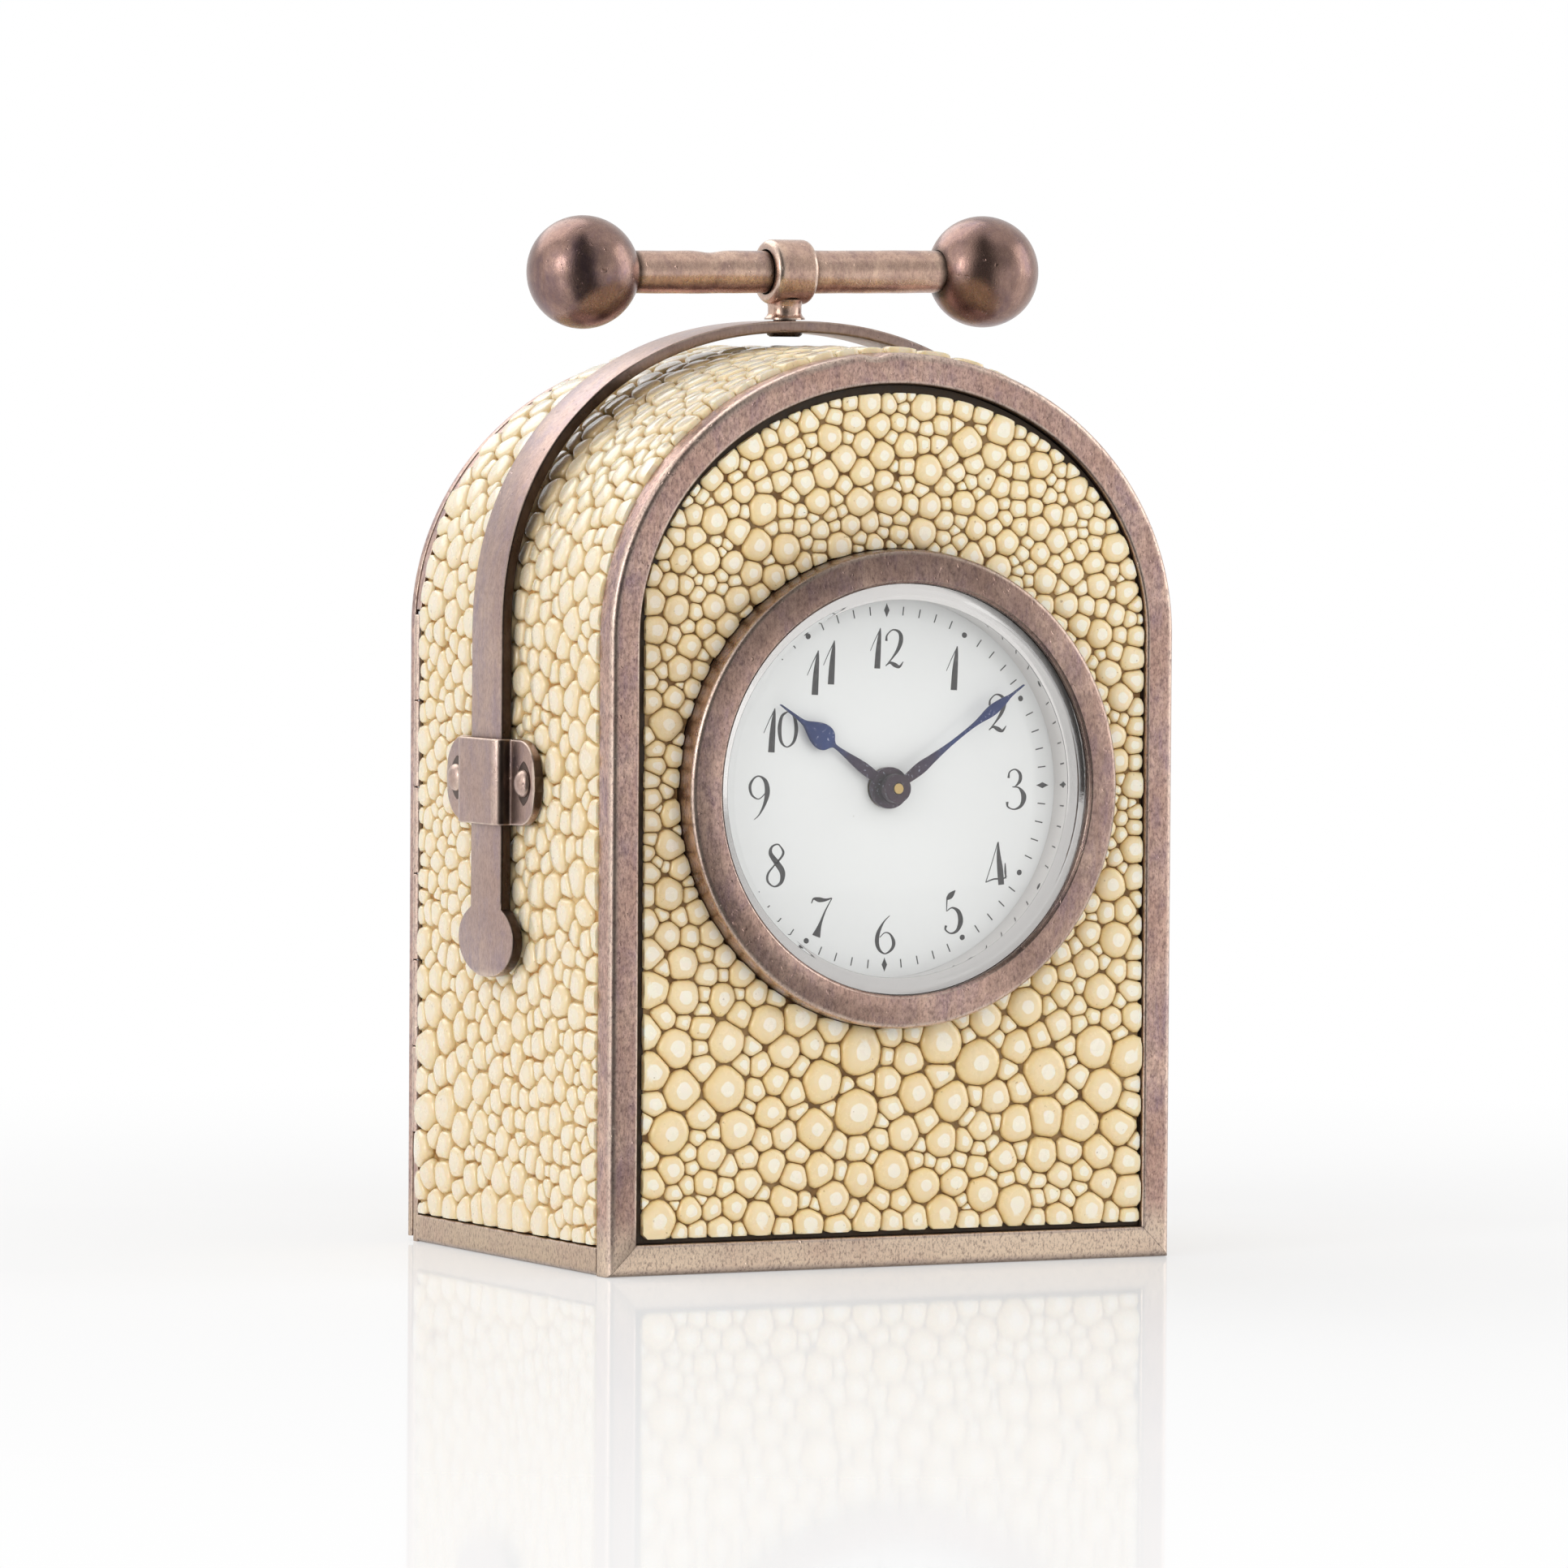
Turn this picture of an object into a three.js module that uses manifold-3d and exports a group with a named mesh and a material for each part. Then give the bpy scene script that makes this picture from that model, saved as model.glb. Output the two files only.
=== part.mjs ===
// Miniature desk clock: an arched silver-framed case covered in ray skin, with a rising strap handle,
// a hinged back door and a small lever movement. Millimetres, +Z up, the front faces -Y.
// The origin is the middle of the underside of the case.
import * as THREE from "three";
import { mergeVertices } from "three/addons/utils/BufferGeometryUtils.js";
import Module from "manifold-3d";

const wasm = await Module();
wasm.setup();

// Clearances
const seatGap = 0.05; // between fixed pieces that seat on one another
const runGap = 0.08; // round a shaft, and between pieces that move past one another
const slideGap = 0.2; // round the sliding strap

// Case
const caseWidth = 46;
const caseDepth = 34.6;
const springHeight = 45.9; // top of the straight sides
const archRise = 20.65; // height of the arch above them
const frameFace = 2.3; // width of the front frame, seen from the front
const frameThickness = 1;
const frameReturn = 2.1; // depth of the frame along the sides
const returnThickness = 0.9;
const mitreGap = 0.03;
const notchWidth = 2.5; // nick in the top edge of the frame
const notchDepth = 0.42;
const notchOffset = -1.7;
const baseThickness = 1;
const baseUpstand = 2.05;
const upstandThickness = 0.9;
const carcassWall = 2;
const boardThickness = 2.5;

// Ray skin
const skinThickness = 1.2;
const skinProud = 0.15; // how far it stands out past the frames
const skinGap = 0.1; // between the skin and the frames
const frontSkinThickness = 0.75;
const frontSkinRecess = 0.35; // depth of its face behind the frame
const frontSkinGap = 0.35;

// Rear rim, door and hinge
const rimThickness = 0.9;
const rimFace = 1.75;
const doorThickness = 0.8;
const doorFace = 2.5;
const doorGap = 0.1; // between the rim and the door, so that its hinged edge clears the rim
const doorLift = 0.35; // bottom edge of the door above the table
const plugDepth = 0.75; // the part of the door that enters the rim
const plugGap = 0.3;
const plugWall = 1.3;
const panelThickness = 0.65;
const doorSkinThickness = 0.6;
const hingeInset = 0.25; // hinge axis behind the side plane
const hingeBottom = 8.15;
const knuckleCount = 6;
const knucklePitch = 6.45;
const knuckleRadius = 0.42;
const knuckleGap = 0.1;
const hingeWeb = 0.75; // reach of each knuckle's web
const hingePinRadius = 0.18;
const hingePinEnd = 0.2; // length past the end knuckles

// Handle
const handleOffset = 1.2; // the strap lies a little behind the middle of the depth
const strapWidth = 5.2;
const strapThickness = 0.85;
const strapStandoff = 0.25; // from the skin at the sides
const strapHeadroom = 1.35; // from the skin at the top
const padHeight = 23.4; // centre of the oval pad at each end
const padWidth = 9.4;
const padRise = 5.5;
const barRadius = 1.58;
const ballRadius = 4.17;
const ballSpacing = 33.2;
const socketDepth = 2.2;
const collarRadius = 2.37;
const collarLength = 2.9;
const collarRound = 0.45;
const postHeight = 1.18; // from the strap to the collar
const postRadius = 1.25;
const postFlare = 0.2;
const tenonRadius = 0.85;
const rivetedHead = 0.35; // height of the riveted end under the strap
const keeperWidth = 15.1;
const keeperHeight = 6.3;
const keeperCentre = 35.05;
const keeperThickness = 0.7;
const keeperCorner = 2.7;
const rivetSpacing = 11.4;
const rivetHeadRadius = 1.1;
const rivetHeadHeight = 0.55;
const rivetShankRadius = 0.5;
const rivetGrip = 0.9; // length held in the wood

// Dial, glass and hands
const movementHeight = 34.9;
const bezelProud = 2; // front of the bezel ahead of the frame
const bezelRadius = 17.4;
const bezelRound = 0.25;
const sightRadius = 14.95; // clear opening of the bezel
const bezelLip = 0.8;
const crystalThickness = 1.75;
const crystalBevel = 1.45; // width of the bevel round the glass
const crystalFlange = 0.65; // width held behind the lip
const crystalInset = 0.1; // its flat front behind the bezel's face
const sightRingWall = 0.7;
const dialRecess = 2.3; // face of the dial behind the frame
const dialThickness = 0.8;
const dialRadius = 15.05;
const dialHole = 1.4;
const minuteAngle = 54.8; // clockwise from twelve, in degrees
const hourAngle = 304.6;
const handThickness = 0.25;
const hourHandLift = 0.5; // above the dial
const minuteHandLift = 1.35;
const minuteHandLength = 12.8;
const hourHandLength = 10.7;
const minuteBossRadius = 1.05;
const minuteBossHeight = 0.75;
const hourBossRadius = 1.5;
const hourBossHeight = 0.4;

// Movement
const ringWall = 1.2;
const ringFlange = 2.2;
const ringFlangeThickness = 1;
const ringShoulder = 0.9;
const screwHeadRadius = 0.85;
const screwHeadHeight = 0.5;
const screwRadius = 0.45;
const screwGrip = 1.3;
const motionSpace = 2.35; // between the dial and the front plate
const plateRadius = 16.1;
const plateThickness = 1.2;
const trainSpace = 8.2; // between the plates
const pillarRadius = 1.2;
const pillarTenon = 0.7;
const pillarCircle = 14.3;
const handArborRadius = 0.4;
const handArborTip = 0.1;
const cannonPipeRadius = 0.72;
const hourPipeRadius = 1.15;
const minuteStudRadius = 0.35;
const centrePipeWall = 0.3;
const wheelThickness = 0.5;
const wheelArms = 4;
const wheelArm = 0.5; // width of an arm
const wheelHub = 1.25;
const wheelRim = 0.6;
const wheelClear = 0.5; // between wheels at neighbouring depths
const endShake = 0.4; // from the front plate to the barrel
const pinionPast = 0.25; // a pinion's length past each side of its wheel
const pivotRadius = 0.2;
const pivotInset = 0.1; // ends of the pivots inside the plates
const thirdArborRadius = 0.3;
const fourthArborRadius = 0.27;
const escapeArborRadius = 0.23;
const palletArborRadius = 0.26;

// Wheel and pinion teeth
const cannonTeeth = 12;
const minuteWheelTeeth = 36;
const minutePinionTeeth = 10;
const hourTeeth = 40;
const barrelTeeth = 64;
const centrePinionTeeth = 10;
const centreTeeth = 54;
const thirdTeeth = 48;
const fourthTeeth = 50;
const pinionTeeth = 6;
const escapeTeeth = 15;
const ratchetTeeth = 24;
const motionModule = 0.16;
const barrelModule = 0.22;
const centreModule = 0.2;
const thirdModule = 0.18;
const fourthModule = 0.16;
const wheelTooth = { up: 0.8, down: 1.4, root: 1 };
const pinionTooth = { up: 0.5, down: 1.25, root: 0.34 };

// Directions from one arbor to the next, in degrees from +X towards +Z
const barrelDirection = 180;
const thirdDirection = 20;
const fourthDirection = 110;
const escapeDirection = 170;
const palletDirection = 150;
const balanceDirection = 200;
const minuteWheelDirection = 300;
const cockDirection = 20;

// Barrel, escapement and knobs
const barrelRadius = 6.5;
const barrelLength = 4.8;
const barrelWall = 0.4;
const barrelFlange = 0.8;
const barrelArborRadius = 1.2;
const barrelHubRadius = 1.9;
const mainspringThickness = 0.18;
const mainspringTurns = 5;
const mainspringClearance = 0.35;
const escapeRadius = 2.8;
const escapeToothDepth = 0.62;
const escapeToPallet = 3.4;
const palletToBalance = 3.8;
const palletSpread = 34; // half the angle between the pallets
const palletWidth = 0.36;
const palletHub = 0.5;
const balanceRadius = 5;
const balanceRim = 0.75;
const balanceThickness = 0.6;
const balanceArm = 0.7;
const balanceHub = 0.8;
const balanceLift = 0.55; // above the back plate
const staffRadius = 0.35;
const rollerRadius = 0.85;
const hairspringThickness = 0.14;
const hairspringTurns = 3;
const hairspringOuter = 2.75;
const hairspringWidth = 0.3;
const cockThickness = 0.9;
const cockFoot = 1.5; // radius of its foot and of its eye
const cockArm = 2.2;
const cockReach = 7;
const ratchetRadius = 2.4;
const ratchetToothDepth = 0.24;
const clickRadius = 0.7;
const clickReach = 4.3;
const clickDirection = 250; // of its pivot, degrees round the barrel
const clickSpan = 40; // degrees from its pivot to its tip
const windingKnobRadius = 3.2;
const windingKnobLength = 2.8;
const windingKnobReach = 4.7; // from the back plate to the knob
const settingKnobRadius = 2.4;
const settingKnobLength = 2.2;
const settingKnobReach = 3.2;
const knobChamfer = 0.3;
const knobGroovePitch = 0.9; // along the edge
const knobGrooveDepth = 0.18;

// Where the main faces lie
const halfWidth = caseWidth / 2;
const frontY = -caseDepth / 2;
const rearY = caseDepth / 2;
const frameBackY = frontY + frameThickness;
const returnEndY = frontY + frameReturn;
const doorFrontY = rearY - doorThickness;
const rimRearY = doorFrontY - doorGap;
const rimFrontY = rimRearY - rimThickness;
const frontSkinY = frontY + frontSkinRecess;
const frontSkinBackY = frontSkinY + frontSkinThickness;
const boardFrontY = Math.max(frontSkinBackY, frameBackY) + seatGap;
const boardBackY = boardFrontY + boardThickness;
const carcassFrontY = boardBackY + seatGap;
const carcassRearY = rimFrontY - seatGap;
const skinInner = skinThickness - skinProud;
const carcassInset = skinInner + seatGap;
const carcassBottom = baseThickness + seatGap;
const bezelFrontY = frontY - bezelProud;
const crystalRadius = sightRadius + crystalFlange;
const crystalFrontY = bezelFrontY + crystalInset;
const crystalSeatY = bezelFrontY + bezelLip + seatGap;
const crystalBackY = crystalFrontY + crystalThickness;
const dialY = frontY + dialRecess;
const dialBackY = dialY + dialThickness;
const frontPlateY = dialBackY + motionSpace;
const trainFrontY = frontPlateY + plateThickness;
const trainRearY = trainFrontY + trainSpace;
const backPlateY = trainRearY + plateThickness;

// Solids
function solid(geometry) {
  const bare = geometry.clone();
  bare.deleteAttribute("normal");
  bare.deleteAttribute("uv");
  const merged = mergeVertices(bare, 1e-4);
  const corners = [];
  for (let i = 0; i < merged.index.count; i += 3) {
    const [a, b, c] = merged.index.array.slice(i, i + 3);
    if (a !== b && b !== c && c !== a) corners.push(a, b, c);
  }
  return new wasm.Manifold(new wasm.Mesh({
    numProp: 3,
    vertProperties: merged.attributes.position.array,
    triVerts: Uint32Array.from(corners),
  }));
}

function geometryOf(shape) {
  const mesh = shape.getMesh();
  const geometry = new THREE.BufferGeometry();
  geometry.setAttribute("position", new THREE.BufferAttribute(mesh.vertProperties, 3));
  geometry.setIndex(new THREE.BufferAttribute(mesh.triVerts, 1));
  geometry.computeVertexNormals();
  return geometry;
}

const join = (...shapes) => shapes.reduce((whole, shape) => whole.add(shape));
const cut = (whole, ...shapes) => shapes.reduce((left, shape) => left.subtract(shape), whole);
const radians = (degrees) => THREE.MathUtils.degToRad(degrees);

const ringSegments = 40; // facets of the rings round the dial

// A flat piece seen from the front: an outline in X and Z, between two depths
function plate(outline, front, rear, { segments = 10, turn = 0, x = 0, z = 0 } = {}) {
  const options = { depth: rear - front, bevelEnabled: false, curveSegments: segments };
  const flat = new THREE.ExtrudeGeometry(outline, options).rotateX(Math.PI / 2);
  return solid(flat.rotateY(radians(turn)).translate(x, rear, z));
}

// A flat piece seen from the side: an outline in Y and Z, between two values of X
function sidePlate(outline, from, to) {
  const turn = new THREE.Matrix4().makeBasis(
    new THREE.Vector3(0, 1, 0), new THREE.Vector3(0, 0, 1), new THREE.Vector3(1, 0, 0));
  const options = { depth: to - from, bevelEnabled: false, curveSegments: 4 };
  return solid(new THREE.ExtrudeGeometry(outline, options).applyMatrix4(turn).translate(from, 0, 0));
}

// A turned piece: radius and length pairs that run outwards, along the axis and in again
const axisTurns = {
  y: (geometry) => geometry,
  x: (geometry) => geometry.rotateZ(-Math.PI / 2),
  minusX: (geometry) => geometry.rotateZ(Math.PI / 2),
  z: (geometry) => geometry.rotateX(Math.PI / 2),
};

function turned(profile, { segments = 12, axis = "y", at = [0, 0, 0] } = {}) {
  const points = profile.map(([radius, along]) => new THREE.Vector2(radius, along));
  return solid(axisTurns[axis](new THREE.LatheGeometry(points, segments)).translate(...at));
}

function rod(radius, from, to, options) {
  return turned([[0, from], [radius, from], [radius, to], [0, to]], options);
}

// A cutter for a round hole, with its flats at the hole's radius
function hole(radius, from, to, { segments = 10, axis = "y", at = [0, 0, 0] } = {}) {
  return rod(radius / Math.cos(Math.PI / segments), from, to, { segments, axis, at });
}

function tube(radius, bore, from, to, options) {
  return turned([[bore, from], [radius, from], [radius, to], [bore, to], [bore, from]], options);
}

function box(from, to) {
  const size = to.map((end, axis) => end - from[axis]);
  const middle = to.map((end, axis) => (end + from[axis]) / 2);
  return solid(new THREE.BoxGeometry(...size).translate(...middle));
}

function polygon(points) {
  return new THREE.Shape(points.map(([x, y]) => new THREE.Vector2(x, y)));
}

// The case outline, drawn in by an inset, standing on a bottom edge
function archOutline(inset, bottom) {
  const half = halfWidth - inset;
  const outline = new THREE.Shape();
  outline.moveTo(-half, bottom);
  outline.lineTo(half, bottom);
  outline.lineTo(half, springHeight);
  outline.absellipse(0, springHeight, half, archRise - inset, 0, Math.PI, false, 0);
  outline.closePath();
  return outline;
}

// A flat arched loop between two insets, with a bottom rail
const cutPast = 1; // how far a cut runs past the faces it opens

function archLoop(outer, inner, front, rear, bottom = outer, sill = inner) {
  return cut(plate(archOutline(outer, bottom), front, rear),
    plate(archOutline(inner, sill), front - cutPast, rear + cutPast));
}

// The scene graph
const clock = new THREE.Group();
const movement = new THREE.Group();
movement.position.z = movementHeight;
clock.add(movement);

const finishes = {
  silver: { color: 0x9a8783, roughness: 0.35, metalness: 1 },
  skin: { color: 0xe8d6b0, roughness: 0.35, metalness: 0 },
  wood: { color: 0x7a5232, roughness: 0.7, metalness: 0 },
  brass: { color: 0xc9a24a, roughness: 0.3, metalness: 1 },
  steel: { color: 0xb9bcc0, roughness: 0.3, metalness: 1 },
  bluedSteel: { color: 0x2c3878, roughness: 0.25, metalness: 1 },
  enamel: { color: 0xececec, roughness: 0.15, metalness: 0 },
  glass: { color: 0xf4f8f8, roughness: 0.03, metalness: 0, transparent: true, opacity: 0.25 },
};

function piece(name, shape, finish, group = clock) {
  const mesh = new THREE.Mesh(geometryOf(shape), new THREE.MeshStandardMaterial(finishes[finish]));
  mesh.name = name;
  group.add(mesh);
}

// Front frame in two pieces, mitred at the bottom corners, with a nick in the top edge
function mitreRegion(lift) {
  const reach = frameFace * 2;
  return plate(polygon([
    [-halfWidth - reach, lift - reach], [halfWidth + reach, lift - reach],
    [halfWidth - reach, lift + reach], [-halfWidth + reach, lift + reach],
  ]), frontY - cutPast, returnEndY + cutPast);
}

const frontFrame = join(
  archLoop(0, frameFace, frontY, frameBackY),
  archLoop(0, returnThickness, frameBackY, returnEndY));
const notchRadius = (notchWidth ** 2 / 4 + notchDepth ** 2) / (2 * notchDepth);
const notchHeight = springHeight + archRise + notchRadius - notchDepth;
const notch = rod(notchRadius, frontY - cutPast, frameBackY,
  { segments: 32, at: [notchOffset, 0, notchHeight] });
piece("front_frame_arch", cut(frontFrame, mitreRegion(mitreGap), notch), "silver");
piece("front_frame_sill", frontFrame.intersect(mitreRegion(0)), "silver");

// Base plate: a shallow channel
const upstandInner = halfWidth - upstandThickness;
piece("base_plate", plate(polygon([
  [-halfWidth, 0], [halfWidth, 0], [halfWidth, baseUpstand], [upstandInner, baseUpstand],
  [upstandInner, baseThickness], [-upstandInner, baseThickness],
  [-upstandInner, baseUpstand], [-halfWidth, baseUpstand],
]), returnEndY + seatGap, rimFrontY - seatGap), "silver");

// Keepers that guide the strap, each held by two rivets through the skin into the wood
const sides = [{ side: "left", out: -1, axis: "minusX" }, { side: "right", out: 1, axis: "x" }];
const ends = [{ end: "front", along: -1 }, { end: "rear", along: 1 }];
const strapInnerX = halfWidth + skinProud + strapStandoff;
const strapOuterX = strapInnerX + strapThickness;
const earInnerX = halfWidth + skinProud + seatGap;
const earOuterX = earInnerX + keeperThickness;
const slotX = strapOuterX + slideGap;
const slotHalf = strapWidth / 2 + slideGap;
const humpX = slotX + keeperThickness;
const humpHalf = slotHalf + keeperThickness;

function roundedOutline(width, height, corner) {
  const outline = new THREE.Shape();
  const x = width / 2 - corner;
  const y = height / 2 - corner;
  outline.absarc(x, y, corner, 0, Math.PI / 2, false);
  outline.absarc(-x, y, corner, Math.PI / 2, Math.PI, false);
  outline.absarc(-x, -y, corner, Math.PI, Math.PI * 1.5, false);
  outline.absarc(x, -y, corner, Math.PI * 1.5, Math.PI * 2, false);
  return outline;
}

function keeper(out) {
  const half = keeperWidth / 2;
  const section = polygon([
    [earInnerX, half], [earInnerX, slotHalf], [slotX, slotHalf], [slotX, -slotHalf],
    [earInnerX, -slotHalf], [earInnerX, -half], [earOuterX, -half], [earOuterX, -humpHalf],
    [humpX, -humpHalf], [humpX, humpHalf], [earOuterX, humpHalf], [earOuterX, half],
  ]);
  const options = { depth: keeperHeight, bevelEnabled: false };
  const strip = new THREE.ExtrudeGeometry(section, options).translate(0, 0, -keeperHeight / 2);
  const blank = sidePlate(roundedOutline(keeperWidth, keeperHeight, keeperCorner), 0, humpX + cutPast);
  const bent = solid(strip).intersect(blank);
  const holes = ends.map(({ along }) => hole(rivetShankRadius + seatGap, 0, humpX,
    { segments: 10, axis: "x", at: [0, along * rivetSpacing / 2, 0] }));
  const turnedOut = geometryOf(cut(bent, ...holes)).rotateZ(out < 0 ? Math.PI : 0);
  return solid(turnedOut.translate(0, handleOffset, keeperCentre));
}

const woodX = halfWidth - carcassInset;
const rivetHoles = [];
for (const { side, out, axis } of sides) {
  piece(`keeper_${side}`, keeper(out), "silver");
  for (const { end, along } of ends) {
    const at = [0, handleOffset + along * rivetSpacing / 2, keeperCentre];
    const head = earOuterX + seatGap;
    const dome = [15, 35, 60].map((angle) => [
      rivetHeadRadius * Math.cos(radians(angle)), head + rivetHeadHeight * Math.sin(radians(angle))]);
    const profile = [[0, woodX - rivetGrip], [rivetShankRadius, woodX - rivetGrip], [rivetShankRadius, head],
      [rivetHeadRadius, head], ...dome, [0, head + rivetHeadHeight]];
    piece(`keeper_rivet_${side}_${end}`, turned(profile, { segments: 10, axis, at }), "silver");
    rivetHoles.push(hole(rivetShankRadius + seatGap, woodX - rivetGrip - seatGap, humpX, { axis, at }));
  }
}

// Wooden carcass, front board and the ray skin over them
const ringInner = dialRadius + 2 * seatGap;
const ringOuter = ringInner + ringWall;
const flangeRadius = ringOuter + ringFlange;
const screwCircle = ringOuter + ringFlange / 2;
const screwPlaces = [30, 150, 270].map((angle) => ({
  x: screwCircle * Math.cos(radians(angle)), z: screwCircle * Math.sin(radians(angle)),
}));
const skinBottom = baseUpstand + skinGap;
const floorTop = carcassBottom + carcassWall;
const frontSkinInset = frameFace + frontSkinGap;
const dialHeightAt = [0, 0, movementHeight];
piece("carcass", cut(archLoop(carcassInset, carcassInset + carcassWall, carcassFrontY, carcassRearY,
  carcassBottom, floorTop), ...rivetHoles), "wood");
piece("front_board", cut(
  plate(archOutline(carcassInset, carcassBottom), boardFrontY, boardBackY),
  rod(ringOuter + seatGap, boardFrontY - cutPast, boardBackY + cutPast,
    { segments: ringSegments, at: dialHeightAt }),
  ...screwPlaces.map(({ x, z }) => hole(screwRadius + seatGap, boardBackY - screwGrip - seatGap,
    boardBackY + cutPast, { segments: 8, at: [x, 0, movementHeight + z] }))), "wood");
piece("skin_wrap", cut(archLoop(-skinProud, skinInner, returnEndY + skinGap, rimFrontY - skinGap,
  skinBottom, skinBottom - cutPast), ...rivetHoles), "skin");
piece("skin_front", cut(
  plate(archOutline(frontSkinInset, frontSkinInset), frontSkinY, frontSkinBackY),
  rod(bezelRadius + skinGap, frontSkinY - cutPast, frontSkinBackY + cutPast,
    { segments: ringSegments, at: dialHeightAt })), "skin");

// Rear rim and door, hinged on the left edge
const hingeX = -halfWidth + hingeInset;
const hingeY = rimRearY - knuckleRadius;
const hingeTop = hingeBottom + knuckleCount * knucklePitch;
const boreRadius = hingePinRadius + runGap;

function knuckle(index, web) {
  const bottom = hingeBottom + index * knucklePitch + knuckleGap / 2;
  const top = bottom + knucklePitch - knuckleGap;
  const barrel = rod(knuckleRadius, bottom, top, { axis: "z", segments: 10, at: [hingeX, hingeY, 0] });
  return join(barrel, box([hingeX, web.front, bottom], [hingeX + web.reach, web.rear, top]));
}

const fixedWeb = { front: hingeY - knuckleRadius, rear: hingeY - seatGap, reach: hingeWeb + 3 * seatGap };
const movingWeb = { front: hingeY + seatGap, rear: doorFrontY + seatGap, reach: hingeWeb };
const knuckles = (odd, web) => [...Array(knuckleCount).keys()]
  .filter((index) => index % 2 === odd).map((index) => knuckle(index, web));
const hingeBore = hole(boreRadius, hingeBottom - cutPast, hingeTop + cutPast,
  { axis: "z", segments: 8, at: [hingeX, hingeY, 0] });
const hingeNotch = box([-halfWidth - cutPast, rimFrontY - cutPast, hingeBottom - knuckleGap],
  [hingeX + hingeWeb + seatGap, rimRearY + cutPast, hingeTop + knuckleGap]);
const rimLoop = cut(archLoop(0, rimFace, rimFrontY, rimRearY), hingeNotch);
piece("rear_rim", cut(join(rimLoop, ...knuckles(0, fixedWeb)), hingeBore), "silver");
piece("hinge_pin", rod(hingePinRadius, hingeBottom - hingePinEnd, hingeTop + hingePinEnd,
  { axis: "z", segments: 8, at: [hingeX, hingeY, 0] }), "steel");

const plugInset = rimFace + plugGap;
const panelInset = plugInset + plugWall + seatGap;
const doorSkinInset = doorFace + frontSkinGap;
const doorPlate = archLoop(0, doorFace, doorFrontY, rearY, doorLift, doorFace);
const doorPlug = archLoop(plugInset, plugInset + plugWall, doorFrontY - plugDepth, doorFrontY);
piece("door_frame", cut(join(doorPlate, doorPlug, ...knuckles(1, movingWeb)), hingeBore), "silver");
piece("door_skin", plate(archOutline(doorSkinInset, doorSkinInset), doorFrontY + seatGap,
  doorFrontY + seatGap + doorSkinThickness), "skin");
piece("door_panel",
  plate(archOutline(panelInset, panelInset), doorFrontY - panelThickness, doorFrontY), "wood");

// Handle: a sprung strap with oval pads, a riveted collar and a dumb-bell grip
const handle = new THREE.Group();
handle.position.y = handleOffset;
clock.add(handle);
const strapInnerRise = archRise + skinProud + strapHeadroom;
const strapOuterRise = strapInnerRise + strapThickness;
const strapUnder = springHeight + strapInnerRise;
const strapTop = springHeight + strapOuterRise;
const barHeight = strapTop + postHeight + collarRadius;

function strap() {
  const outline = new THREE.Shape();
  outline.moveTo(strapOuterX, padHeight);
  outline.lineTo(strapOuterX, springHeight);
  outline.absellipse(0, springHeight, strapOuterX, strapOuterRise, 0, Math.PI, false, 0);
  outline.lineTo(-strapOuterX, padHeight);
  outline.lineTo(-strapInnerX, padHeight);
  outline.lineTo(-strapInnerX, springHeight);
  outline.absellipse(0, springHeight, strapInnerX, strapInnerRise, Math.PI, 0, true, 0);
  outline.lineTo(strapInnerX, padHeight);
  const pad = new THREE.Shape();
  pad.absellipse(0, padHeight, padWidth / 2, padRise / 2, 0, 2 * Math.PI, false, 0);
  const tenonHole = hole(tenonRadius + seatGap, springHeight, strapTop + cutPast, { axis: "z" });
  return cut(join(plate(outline, -strapWidth / 2, strapWidth / 2, { segments: 15 }),
    sidePlate(pad, strapInnerX, strapOuterX), sidePlate(pad, -strapOuterX, -strapInnerX)), tenonHole);
}

function collar() {
  const half = collarLength / 2;
  const inner = collarRadius - collarRound;
  const bend = collarRound * Math.SQRT1_2;
  const ring = turned([[0, -half], [inner, -half], [inner + bend, -half + collarRound - bend],
    [collarRadius, -half + collarRound], [collarRadius, half - collarRound],
    [inner + bend, half - collarRound + bend], [inner, half], [0, half]],
  { axis: "x", segments: 20, at: [0, 0, barHeight] });
  const head = strapUnder - 2 * seatGap;
  const seat = strapTop + seatGap;
  const headRadius = postRadius + postFlare / 2;
  const post = turned([[0, head - rivetedHead], [headRadius - rivetedHead / 2, head - rivetedHead],
    [headRadius, head - rivetedHead / 2], [headRadius, head], [tenonRadius, head], [tenonRadius, seat],
    [postRadius + postFlare, seat], [postRadius + postFlare, seat + postFlare],
    [postRadius, seat + 2 * postFlare],
    [postRadius, barHeight - barRadius], [0, barHeight - barRadius]], { axis: "z", segments: 12 });
  const bore = hole(barRadius + seatGap, -collarLength, collarLength,
    { axis: "x", segments: 20, at: [0, 0, barHeight] });
  return cut(join(ring, post), bore);
}

const socketRadius = barRadius + seatGap;
const mouth = Math.sqrt(ballRadius ** 2 - socketRadius ** 2);
const socketEnd = socketDepth - ballRadius + seatGap;

function ball(axis, out) {
  const mouthAngle = Math.atan2(-mouth, socketRadius);
  const steps = 10;
  const sphere = [...Array(steps).keys()].map((step) => {
    const angle = mouthAngle + (Math.PI / 2 - mouthAngle) * step / steps;
    return [ballRadius * Math.cos(angle), ballRadius * Math.sin(angle)];
  });
  const profile = [[0, socketEnd], [socketRadius, socketEnd], ...sphere, [0, ballRadius]];
  return turned(profile, { axis, segments: 20, at: [out * ballSpacing / 2, 0, barHeight] });
}

const barHalf = ballSpacing / 2 + socketEnd - seatGap;
piece("handle_strap", strap(), "silver", handle);
piece("handle_collar", collar(), "silver", handle);
piece("handle_bar", rod(barRadius, -barHalf, barHalf, { axis: "x", segments: 20, at: [0, 0, barHeight] }),
  "silver", handle);
for (const { side, out, axis } of sides) piece(`ball_${side}`, ball(axis, out), "silver", handle);

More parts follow.
